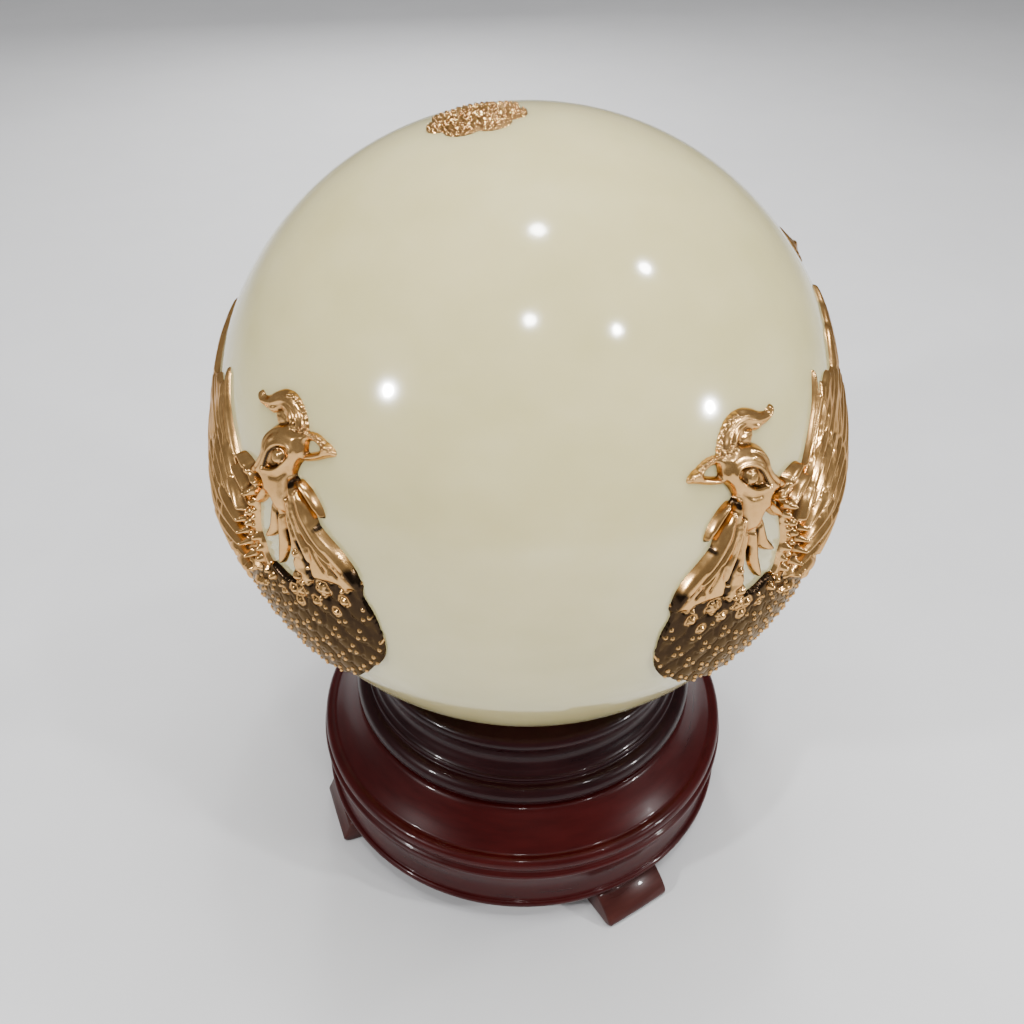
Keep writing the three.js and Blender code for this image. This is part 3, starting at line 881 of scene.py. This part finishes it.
def addBreast(sheet):
    # Rows of scales that curl round the wing's root, from the outer row in. Returns their beads' places.
    outline = [
        (23.6, 4.5), (22.6, 0.6), (21.6, -2.2), (21.1, -5.0), (21.1, -8.0), (21.7, -11.2),
        (22.9, -13.6), (24.9, -15.6), (27.2, -18), (31, -21.5), (36, -24.8), (42, -26.6), (48, -25.4),
        (54, -21.5), (59, -15.5), (61, -9), (57, -3), (50, 0), (45.2, -1.5), (42.4, 0.8), (39.2, -0.3),
        (36.8, -0.4), (35.8, 2.6), (28.9, 4.9),
    ]
    before = sheet["height"].copy()
    plate(sheet, outline, breastRise, rounding=2.2, edge=0.5)
    s = breastScales
    middle = np.array(s["curlCentre"], float)
    first, last = s["span"]
    spots = []
    for row, reach in reversed(list(enumerate(s["rows"]))):
        count = int(round(np.radians(last - first) * reach / s["width"]))
        step = (last - first) / count
        for turn in np.radians(first + (np.arange(count) + 0.5 * (row % 2)) * step):
            way = np.array([np.cos(turn), np.sin(turn)])
            side = np.array([-way[1], way[0]])
            path = [middle + (reach - back) * way for back in s["backs"]]
            leaf(sheet, path, width=3.4, crown=0.9, root=0.75, belly=0.5, over=breastRise, edge=-0.25,
                 taper=0.9, lift=0.45, roundness=1.0, moat=0.55, moatWidth=0.32)
            spots += [middle + (reach - back) * way + aside * side for back, aside in s["beads"]]
    # the scales keep to the outline, and thin out towards it
    rim, growth = s["thinning"]
    scaleReach = 12  # more than a scale can stand out past the outline
    part, far, inside = fromOutline(sheet, outline, scaleReach)
    thinned = np.minimum(sheet["height"][part], rim + growth * far)
    sheet["height"][part] = np.where(inside, thinned, before[part])
    least = 0.02  # mm of new metal that takes the painted shade
    # the breast's scales get the painted shade, a painted dark reflection
    sheet["paintedShade"][sheet["height"] > before + least] = 1
    return spots


wing = {
    "low": 0.5,
    "swell": 1.7,
    "shoulder": 1,  # latitude of its highest line
    "reach": 16,
    "thins": (95, 25),  # the longitude where it would come to nothing, and the degrees before that
    "thinnest": 0.3,
    "underFeathers": 0.4,  # how much lower the plate under the feathers lies
}


def wingRise(lon, lat):
    # Highest at its shoulder, and lower where it leaves the side of the ball:
    # low + swell (1 - |lat - shoulder| / reach) (end - lon) / run, the last between thinnest and 1
    end, run = wing["thins"]
    swell = wing["swell"] * np.clip(1 - np.abs(lat - wing["shoulder"]) / wing["reach"], 0, 1)
    return wing["low"] + swell * np.clip((end - lon) / run, wing["thinnest"], 1)


def wingPlateRise(lon, lat):
    return wingRise(lon, lat) - wing["underFeathers"]


def addWing(sheet):
    # a low ledge in front for the studs, and the plate under the feathers
    plate(sheet, [
        (43.2, 15.9), (43.7, 13.4), (44.1, 11.2), (44.5, 9.0), (44.9, 7.0), (44.9, 5.2), (44.4, 3.6),
        (44.2, 1.4), (43.6, -1), (49, -4), (51, 2), (51, 12), (48, 16),
    ], rise=1.0, rounding=0.5, edge=0.5)
    plate(sheet, [
        (45.4, 15.4), (46.4, 13.6), (47.6, 11.6), (47.9, 9.4), (48.3, 7.4), (48.4, 5.6), (48.3, 3.6),
        (48.0, 1.6), (47.6, -1), (50, -6), (57, -8), (61, 0), (61, 9), (58, 14.0), (53, 15.8),
        (48, 15.6),
    ], rise=wingPlateRise, rounding=1.0, edge=0.4)
    flight = {
        "over": wingRise,
        "edge": 0.0,
        "crown": 1.7,
        "belly": 0.62,
        "root": 0.5,
        "flutes": 1,
        "fluteDepth": 0.5,
        "roundness": 0.8,
    }
    leaves(sheet, [
        ([(64, 12), (77, 23), (89, 31.5)], {"width": 1.3}),
        ([(63, 13), (74, 22.5), (84, 29.5)], {"width": 1.4}),
        ([(62, 14), (71, 21.5), (79, 28)], {"width": 1.5}),
    ], **flight)
    fan(sheet, 10, [(52.6, 13.0), (57, 4.5), (57, -7)], [(68.5, 24.6), (79, 18), (87, -4)], bow=1.2,
        width=2.4, **flight)
    leaves(sheet, [
        ([(51.6, 16.2), (55.2, 19.7), (58.9, 23.5), (61.9, 27.8)], {"width": 0.85, "belly": 0.3}),
        ([(52.5, 14.3), (56.2, 16.9), (60.3, 20.5), (64.1, 25.1)], {"width": 0.95, "belly": 0.4}),
        ([(53.0, 13.3), (57.3, 15.9), (61.7, 19.0), (66.6, 23.1)], {"width": 1.3}),
    ], **flight)
    # the coverts over their roots, and the scapulars in front
    fan(sheet, 8, [(50.8, 11.6), (54.3, 3.5), (57.1, -10.2)], [(60.4, 17.6), (70.8, 8.9), (66.1, -4.0)],
        bow=0.8, width=1.75, over=wingRise, edge=0.0, crown=2.2, belly=0.4, flutes=1, fluteDepth=0.5)
    leaves(sheet, [
        ([(48.4, -2.6), (51.4, -3.2), (56.0, -4.4)], {"width": 1.4}),
        ([(48.4, 0.0), (51.0, -0.3), (56.0, -1.2)], {"width": 1.4}),
        ([(49.0, 2.2), (52.8, 2.4), (58.0, 2.3), (63.0, 2.0)], {"width": 1.3}),
        ([(49.0, 4.3), (51.8, 4.8), (55.8, 4.9), (59.6, 5.6)], {"width": 1.3}),
        ([(48.9, 6.5), (51.4, 7.3), (54.2, 7.9), (57.3, 8.6)], {"width": 1.4}),
        ([(48.0, 8.9), (49.3, 10.1), (50.7, 11.2), (52.5, 12.3)], {"width": 1.6}),
        ([(45.0, 12.4), (47.1, 13.5), (49.3, 14.3), (51.2, 14.9)], {"width": 1.4, "belly": 0.5}),
        ([(42.9, 14.8), (44.7, 15.7), (47.0, 16.6), (49.8, 17.4)], {"width": 1.3, "belly": 0.5}),
    ], over=wingRise, edge=0.3, crown=2.4, belly=0.6, root=0.5, roundness=0.8, moat=0.5)
    leaf(sheet, [(46.6, -2.0), (48.0, -1.6), (49.4, -0.9)], width=1.0, crown=2.9, taper=0.95, root=0.8)
    leaf(sheet, [(45.6, -4.5), (47.6, -4.9), (50.4, -5.8)], width=1.3, crown=3.3, taper=0.95)


def addStuds(sheet):
    # The studs down the wing's front edge, and the flowers over the top of the breast.
    for spot, size in (
        ((44.6, 13.0), 1.15), ((45.1, 10.8), 1.0), ((45.1, 9.2), 0.7), ((46.9, 8.3), 0.9),
        ((45.6, 7.8), 0.65), ((47.3, 6.3), 1.0), ((45.9, 6.3), 0.6), ((45.6, 4.4), 1.05),
        ((47.3, 4.3), 0.7), ((45.2, 2.4), 0.9), ((46.8, 2.2), 0.6), ((45.7, 0.3), 1.15),
        ((44.3, -1.2), 0.9), ((42.4, -1.5), 1.0),
    ):
        bead(sheet, spot, size, rise=1.3, moat=0.2)
    for spot, size in (
        ((27.9, 3.7), 2.0), ((25.5, 2.2), 1.5), ((30.1, 0.4), 1.9), ((33.4, 1.5), 1.6), ((35.6, 1.1), 1.3),
        ((26.3, -0.9), 1.3), ((35.4, -1.5), 1.5), ((37.3, -2.1), 1.1), ((32.2, -2.5), 1.2),
        ((36.2, -3.9), 1.1), ((28.4, -3.5), 1.0), ((39.9, -3.5), 0.9),
    ):
        flower(sheet, spot, size)


darkFolds = (  # the deep folds between the neck leaves, also painted dark as shade
    [(33.5, 7.8), (32.9, 6.0), (32.5, 4.2), (32.2, 1.9)],
    [(36.2, 8.6), (36.0, 6.6), (35.6, 4.6)],
)


def addNeck(sheet):
    # a plate, the long leaves that hang over it, and raised and sunk lines along them
    plate(sheet, [
        (33.9, 17.9), (32.4, 14.8), (30.6, 12.2), (28.6, 10.3), (26.1, 8.2), (24.9, 6.8), (23.8, 5.2),
        (22.5, 2.5), (23.8, 1.7), (28.8, 2.0), (34.0, 1.4), (36.0, 2.4), (35.9, 5.0), (35.9, 7.5),
        (36.3, 9.8), (37.4, 12.2), (39.6, 13.9), (39.0, 17.4),
    ], rise=1.4, rounding=1.0, edge=0.5)
    leaves(sheet, [
        ([(32.6, 17.5), (31.2, 16.4), (29.7, 14.8), (28.2, 12.9)], {"width": 0.95, "crown": 1.8}),
        ([(33.0, 15.9), (31.8, 14.2), (30.6, 12.6), (29.5, 11.0)], {"width": 0.95, "crown": 1.9}),
        ([(33.0, 15.8), (31.7, 12.6), (29.2, 9.6), (26.6, 7.2), (24.4, 4.8), (23.2, 2.8)],
         {"width": 1.7, "crown": 2.5, "root": 0.4, "belly": 0.65, "taper": 0.8}),
        ([(34.0, 17.6), (33.9, 15.2), (33.2, 12.6), (31.6, 9.8), (29.4, 7.4), (27.0, 5.6)],
         {"width": 0.95, "crown": 2.6, "root": 0.8, "belly": 0.7}),
        ([(34.4, 14.6), (33.9, 11.8), (33.1, 9.4), (32.3, 7.0), (31.8, 4.6)],
         {"width": 0.95, "crown": 2.6, "root": 0.7}),
        ([(35.0, 14.2), (34.9, 11.5), (34.4, 9.2), (33.7, 7.0), (33.4, 5.2)],
         {"width": 0.75, "crown": 2.4, "root": 0.7}),
        ([(37.3, 12.6), (37.4, 9.2), (37.9, 5.8), (39.7, 1.7)], {"width": 1.3, "crown": 1.8, "root": 0.8}),
        ([(38.4, 13.6), (39.0, 10.6), (40.0, 8.0), (42.3, 5.8)], {"width": 1.25, "crown": 1.8, "root": 0.8}),
    ], moat=0.4)
    ridges(sheet, [
        [(33.5, 16.8), (33.2, 14.6), (32.0, 12.0), (30.2, 10.0), (28.0, 8.2)],
        [(34.5, 17.2), (34.5, 15.0), (34.0, 12.6), (32.6, 10.2)],
        [(32.2, 17.2), (30.6, 15.9), (29.2, 14.4)],
        [(32.4, 15.2), (31.2, 13.6), (30.2, 12.1)],
    ], width=0.35, rise=0.3)
    ridges(sheet, [
        [(32.1, 9.6), (30.6, 6.8), (28.9, 4.0)],
        [(30.6, 8.2), (28.6, 5.8), (26.4, 3.6)],
    ], width=0.3, rise=-0.5)
    ridges(sheet, darkFolds, width=0.55, rise=-0.8)


head = {
    "middle": (36.5, 20),
    "height": 2.9,
    "fall": 0.01,
    "upwards": 0.8,  # how much less it falls up and down than sideways
    "eye": (36.8, 20.8),
}


def headRise(lon, lat):
    # height - fall (distance in degrees from its middle)^2
    lonMiddle, latMiddle = head["middle"]
    away = np.hypot(lon - lonMiddle, (lat - latMiddle) * head["upwards"])
    return head["height"] - head["fall"] * away ** 2


def addEar(sheet):
    # a beaded upper bar, a lower bar and a solid tip
    leaves(sheet, [
        ([(32.2, 24.8), (30.0, 24.8), (28.4, 24.1), (26.7, 23.5)], {"width": 0.72}),
        ([(32.0, 21.5), (29.8, 22.1), (27.9, 22.8), (26.5, 23.2)], {"width": 0.66}),
    ], crown=1.4, root=0.9, belly=0.8, taper=0.9, moat=0)
    tip = [(25.8, 23.0), (27.0, 24.2), (28.4, 24.4), (28.8, 23.4), (28.4, 22.4), (27.1, 22.5)]
    plate(sheet, tip, rise=1.5, rounding=1.2, edge=0.5)


def addCrest(sheet):
    # the steps under it, and the crest with its grooved band
    leaves(sheet, [
        ([(35.7, 25.8), (37.4, 25.9), (39.3, 25.5)], {"width": 0.5}),
        ([(36.2, 26.6), (37.8, 26.5), (39.7, 26.1)], {"width": 0.5}),
        ([(36.6, 27.2), (38.0, 27.1), (39.8, 26.7)], {"width": 0.45}),
    ], crown=1.5, root=0.8, belly=0.6, taper=0.9)
    plate(sheet, [
        (32.1, 25.4), (32.5, 26.9), (33.2, 28.0), (34.1, 29.0), (35.1, 29.8), (36.5, 30.4),
        (38.1, 30.5), (39.5, 30.3), (41.2, 29.6), (42.8, 28.7), (44.3, 28.4), (45.7, 28.8),
        (46.1, 28.2), (45.3, 27.2), (44.0, 26.7), (42.4, 26.6), (41.4, 26.4), (40.5, 26.6),
        (39.7, 27.2), (38.6, 27.5), (37.3, 27.2), (36.5, 26.5), (36.0, 25.2), (33.9, 24.8),
    ], rise=1.8, rounding=1.8, edge=0.4, moat=0.4)
    ridges(sheet, [
        [(33.0, 26.0), (33.5, 27.3), (34.6, 28.4), (36.2, 29.1), (38.2, 29.2), (40.4, 28.5), (42.4, 27.9),
         (44.4, 27.9)],
        [(34.4, 26.2), (35.0, 27.5), (36.4, 28.4), (38.2, 28.5), (40.4, 27.7), (42.4, 27.2), (44.0, 27.1)],
    ], width=0.3, rise=-0.75)
    outerGroove = [(37.6, 30.1), (39.6, 29.5), (41.4, 28.7), (43.2, 28.3), (44.8, 28.3)]
    ridge(sheet, outerGroove, width=0.26, rise=-0.5)


def addFace(sheet):
    # the head and the beak in one plate
    plate(sheet, [
        (31.7, 24.9), (33.3, 25.6), (35.1, 25.9), (37.1, 25.5), (39.2, 24.9), (40.8, 23.8),
        (41.6, 22.4), (41.7, 20.9), (42.5, 19.5), (43.6, 18.1), (44.9, 17.0), (46.2, 16.0),
        (45.6, 15.4), (43.5, 15.7), (42.1, 15.9), (41.3, 15.5), (41.5, 14.6), (40.7, 13.7),
        (39.6, 13.7), (38.9, 13.0), (38.1, 12.1), (37.0, 11.7), (35.5, 12.4), (34.9, 13.9),
        (34.7, 15.8), (34.4, 17.6), (34.0, 18.8), (33.4, 20.1), (32.5, 21.2), (31.8, 22.2),
        (31.8, 23.4),
    ], rise=headRise, rounding=2.4, edge=0.7, moat=0.6)
    # the mandible hooks down to the wing
    leaf(sheet, [(39.4, 15.2), (41.1, 14.2), (42.5, 12.7), (44.0, 11.2)], width=1.0, crown=2.1, root=0.9,
         belly=0.5, moat=0)
    ridge(sheet, [(40.7, 15.4), (42.2, 16.0), (45.1, 15.8)], width=0.25, rise=-0.6)
    # rims: down the back of the head, and from the crown out along the beak
    ridges(sheet, [
        [(31.8, 25.1), (32.0, 23.6), (32.0, 22.6), (32.7, 21.5), (33.6, 20.4), (34.2, 19.0), (34.5, 17.2),
         (34.7, 15.4)],
        [(34.3, 25.5), (36.3, 25.2), (38.2, 24.6), (39.7, 23.5), (40.5, 22.1), (40.7, 21.0), (41.5, 19.5),
         (42.6, 18.1), (43.9, 17.1), (45.2, 16.3)],
    ], width=0.36, rise=0.5)
    groove = [
        (37.1, 24.3), (38.6, 23.6), (39.6, 22.4), (39.9, 21.0), (40.6, 19.4), (41.8, 18.0), (43.2, 17.0),
    ]
    ridge(sheet, groove, width=0.24, rise=-0.45)
    innerRim = [(37.6, 23.8), (38.8, 22.8), (39.4, 21.2), (40.2, 19.5), (41.2, 18.0), (42.5, 17.1)]
    ridge(sheet, innerRim, width=0.26, rise=0.35)


def addEye(sheet):
    # a sunk almond between two lids, with a ringed ball in it
    almond = [
        (33.6, 21.9), (34.5, 22.7), (35.8, 22.7), (37.2, 22.3), (38.4, 21.5), (39.1, 20.4),
        (39.6, 19.2), (40.0, 18.2), (39.0, 18.4), (37.8, 18.6), (36.5, 19.1), (35.3, 20.0),
        (34.3, 21.0),
    ]
    hollowOut(sheet, almond, depth=0.95, rounding=0.8)
    lowerLid = [
        (33.7, 21.9), (34.3, 20.9), (35.3, 19.9), (36.5, 19.0), (37.8, 18.5), (39.0, 18.3), (40.2, 18.0),
    ]
    ridge(sheet, lowerLid, width=0.3, rise=0.6)
    upperLid = [
        (33.7, 22.0), (34.5, 22.8), (35.8, 22.8), (37.2, 22.4), (38.5, 21.6), (39.2, 20.4), (40.1, 18.3),
    ]
    ridge(sheet, upperLid, width=0.24, rise=0.4)
    ridge(sheet, [(34.9, 18.9), (36.2, 17.9), (37.9, 17.5)], width=0.3, rise=-0.35)
    flower(sheet, head["eye"], radius=1.6, petals=1, petalDepth=0, notch=0, bud=0, rise=1.0, moat=0.3)
    ringRidge(sheet, head["eye"], radius=1.1, width=0.22, rise=0.22)


def addHeadBeads(sheet):
    # Rows over the crest and the ear, and single ones on the ear's tip and between the neck leaves.
    for places, count in (
        ([(32.2, 26.3), (32.8, 27.7), (33.8, 28.8), (35.2, 29.7), (36.8, 30.0)], 7),
        ([(28.3, 24.7), (29.8, 25.2), (31.5, 25.3), (33.1, 25.6), (34.5, 25.8)], 8),
    ):
        beads(sheet, places, count, radius=0.55, rise=0.9)
    for spot, radius in (((27.3, 23.8), 0.75), ((26.3, 23.4), 0.5), ((34.5, 5.6), 0.9)):
        bead(sheet, spot, radius)


def addPaintedShade(sheet, bare):
    # Painted shade: dark on the breast where nothing was laid on it, in the hanging leaves, in the deep
    # folds, behind the head and round the eye.
    laid = np.abs(sheet["height"] - bare)
    bareUpTo, cover = 1.2, 0.25  # painted shade *= bareUpTo - laid / cover, kept between 0 and 1
    sheet["paintedShade"] *= np.clip(bareUpTo - laid / cover, 0, 1)
    for places in darkFolds:
        darken(sheet, places, width=0.9)
    for places, width in (
        ([(37.9, 11.2), (38.0, 8.8), (38.5, 5.8), (39.9, 2.3)], 0.5),
        ([(39.3, 12.0), (39.7, 10.2), (40.8, 8.0), (42.3, 6.2)], 0.45),
        ([(24.0, 4.6), (22.8, 2.6)], 1.6),
        ([(32.7, 20.2), (33.4, 18.6), (33.8, 17.0)], 0.55),
        ([(33.9, 21.9), (34.6, 22.5), (35.8, 22.5), (37.2, 22.1), (38.4, 21.3), (39.0, 20.3), (39.7, 18.7)],
         0.22),
        ([(34.3, 21.2), (35.4, 20.2), (36.6, 19.4), (38.0, 18.9)], 0.2),
        ([(28.2, 12.8), (29.2, 11.2)], 0.7),
    ):
        darken(sheet, places, width)


scaleBead = {
    "radius": 0.52,
    "room": 0.3,  # the bead is left out where anything was laid over its scale as near as this
    "bright": 0.8,  # how far round it the painted shade is cleared
    "shadeClearing": (0.25, 1.3),  # painted shade *= distance / the first - the second
}


def addScaleBeads(sheet, spots):
    # A bright bead on each spot of the breast that is still bare, with the painted shade cleared round it.
    s = scaleBead
    run, start = s["shadeClearing"]
    free = sheet["paintedShade"].copy()
    for spot in spots:
        part, far, _ = fromSpot(sheet, spot, s["room"])
        if free[part].size and free[part].min() > 0.5:
            bead(sheet, spot, s["radius"])
            part, far, _ = fromSpot(sheet, spot, s["bright"])
            sheet["paintedShade"][part] *= np.clip(far / run - start, 0, 1)


def phoenixSheet():
    lonAxis, latAxis = (
        np.concatenate([np.arange(*s) for s in phoenix[key]]) for key in ("lonStretches", "latStretches")
    )
    sheet = newSheet(lonAxis, latAxis)
    addTail(sheet)
    addWing(sheet)
    beadSpots = addBreast(sheet)
    bare = sheet["height"].copy()
    addStuds(sheet)
    addNeck(sheet)
    addEar(sheet)
    addCrest(sheet)
    addFace(sheet)
    addEye(sheet)
    addPaintedShade(sheet, bare)
    sheet["height"] = blurred(sheet["height"], 1)
    addScaleBeads(sheet, beadSpots)
    addHeadBeads(sheet)
    return sheet


def phoenixPair():
    # The left one is the right one mirrored, and leans out more.
    sheet = phoenixSheet()
    right = reliefPiece("phoenixRelief", sheet, Matrix.Identity(4))
    place(right, "gilt", "phoenix_right")
    lean = turned(phoenix["leftTurn"], Vector(towards(*phoenix["turnCentre"])))
    left = reliefPiece("phoenixReliefLeft", sheet, lean, flip=True)
    place(left, "gilt", "phoenix_left")


rosette = {
    "lon": -110.0,
    "lat": 80.5,
    "reach": 8.4,  # degrees
    "flowers": 7,  # round the middle one
    "flowerSize": 0.39,  # share of the reach
    "flowerRing": 0.6,
    "rings": ((0.92, 18), (0.68, 13), (0.44, 8), (0.2, 4)),  # share of a flower's radius, and its beads
    "beadSize": 0.42,
    "sheetReach": 10,  # degrees each way, and the grid's step
    "step": 0.13,
}


def topRosette():
    # A flat lace of beaded flowers: one in the middle and the others round it.
    r = rosette
    axis = np.arange(-r["sheetReach"], r["sheetReach"], r["step"])
    sheet = newSheet(axis, axis)
    size = r["flowerSize"] * r["reach"] * np.radians(1) * ball["radius"]
    middle = np.zeros(2)
    spots = np.vstack([[middle], ringOf(middle, r["flowerRing"] * r["reach"], r["flowers"])])
    for spot in spots:
        flower(sheet, spot, size, petals=18, base=0.4, rise=0.15, petalDepth=0.1, notch=0.04, bud=0,
               moat=0.3)
    sheet["height"] = blurred(sheet["height"], 1)
    for spot in spots:
        for share, count in r["rings"]:
            for dot in ringOf(spot, np.degrees(share * size / ball["radius"]), count):
                bead(sheet, dot, r["beadSize"], rise=0.9, moat=0.1)
    # the grid's middle looks along -Y, and is turned up to the rosette's place
    turn = turned(r["lon"], "Z") @ turned(-r["lat"], "X")
    place(reliefPiece("rosetteRelief", sheet, turn), "gilt", "top_rosette")


# The room, the lights and the camera

studio = {
    "floorRadius": 8000,  # mm
    "floorSides": 64,
    "floorMottle": 9,
    "floorShades": ((0.3, (0.60, 0.60, 0.61)), (0.7, (0.64, 0.64, 0.65))),
    "walls": (0.66, 0.66, 0.67, 1),
    "wallStrength": 0.4,
}


def room():
    # A round floor, and an even light from all sides.
    s = studio
    a = np.linspace(0, 2 * np.pi, s["floorSides"], endpoint=False)
    points = s["floorRadius"] * np.stack([np.cos(a), np.sin(a), 0 * a], -1)
    material, tree, shader = newMaterial("floor", Roughness=0.7)
    colour = addRamp(tree, addMottle(tree, s["floorMottle"]), *s["floorShades"])
    linked(tree, colour, shader.inputs["Base Color"])
    floor, _ = meshPiece("floor", points, [np.arange(s["floorSides"])[None]], material)
    world = bpy.data.worlds.new("studio")
    bpy.context.scene.world = world
    world.use_nodes = True
    background = world.node_tree.nodes["Background"]
    background.inputs["Color"].default_value = s["walls"]
    background.inputs["Strength"].default_value = s["wallStrength"]


lampAim = (0, 0, 0.13)
lamps = {
    # place and diameter in metres, power in watts, whether it shows in reflections
    "overhead": ((0.05, 0.05, 0.95), 0.8, 11.0, False),
    "left": ((-0.65, -0.45, 0.60), 0.06, 4.5, True),
    "right": ((0.75, -0.30, 0.42), 0.05, 3.5, True),
    "back": ((-0.12, 0.78, 0.38), 0.16, 3.0, True),
    "low": ((0.1, -0.9, 0.25), 0.5, 3.0, False),
    "spotUpper": ((0.031, 0.102, 0.934), 0.06, 1.0, True),
    "spotMiddle": ((0.007, -0.334, 0.881), 0.05, 1.0, True),
    "spotRight": ((0.437, 0.034, 0.813), 0.05, 1.0, True),
    "spotLow": ((0.371, -0.296, 0.799), 0.04, 1.0, True),
}


def lights():
    # Discs that face the ball. The big ones leave no reflection of their own, and the small ones are
    # its highlights.
    for name, (spot, size, power, seen) in lamps.items():
        lamp = bpy.data.lights.new(name, "AREA")
        lamp.shape = "DISK"
        lamp.size = size
        lamp.energy = power
        light = bpy.data.objects.new(name, lamp)
        light.location = spot
        light.rotation_euler = (Vector(lampAim) - Vector(spot)).to_track_quat("-Z", "Y").to_euler()
        light.visible_glossy = seen
        bpy.context.collection.objects.link(light)


view = {
    "distance": 3.521,  # in ball radii, from the ball's middle
    "above": 34.3,  # degrees above the ball's middle
    "heading": 0.93,
    "lookDown": 39.25,
    "roll": 0.33,
    "lens": 36.91,
    "sensor": 36,
    "nearest": 0.01,
}


def camera():
    # The photograph's own viewing angle, fitted to the ball's outline and the stand's.
    distance = view["distance"] * ball["radius"] * mm
    above = np.radians(view["above"])
    lens = bpy.data.cameras.new("camera")
    lens.lens = view["lens"]
    lens.sensor_width = view["sensor"]
    lens.clip_start = view["nearest"]
    eye = bpy.data.objects.new("camera", lens)
    turn = turned(view["heading"], "Z") @ turned(90 - view["lookDown"], "X") @ turned(view["roll"], "Z")
    spot = Vector((0, -distance * np.cos(above), ball["middle"] * mm + distance * np.sin(above)))
    eye.matrix_world = Matrix.Translation(spot) @ turn
    bpy.context.collection.objects.link(eye)
    bpy.context.scene.camera = eye


camera()
room()
lights()
print("room, lights and camera made")
jadeBall()
platform()
collar()
for number in range(len(feet["places"])):
    foot(number)
print("ball and stand made")
phoenixPair()
topRosette()
print("relief made")
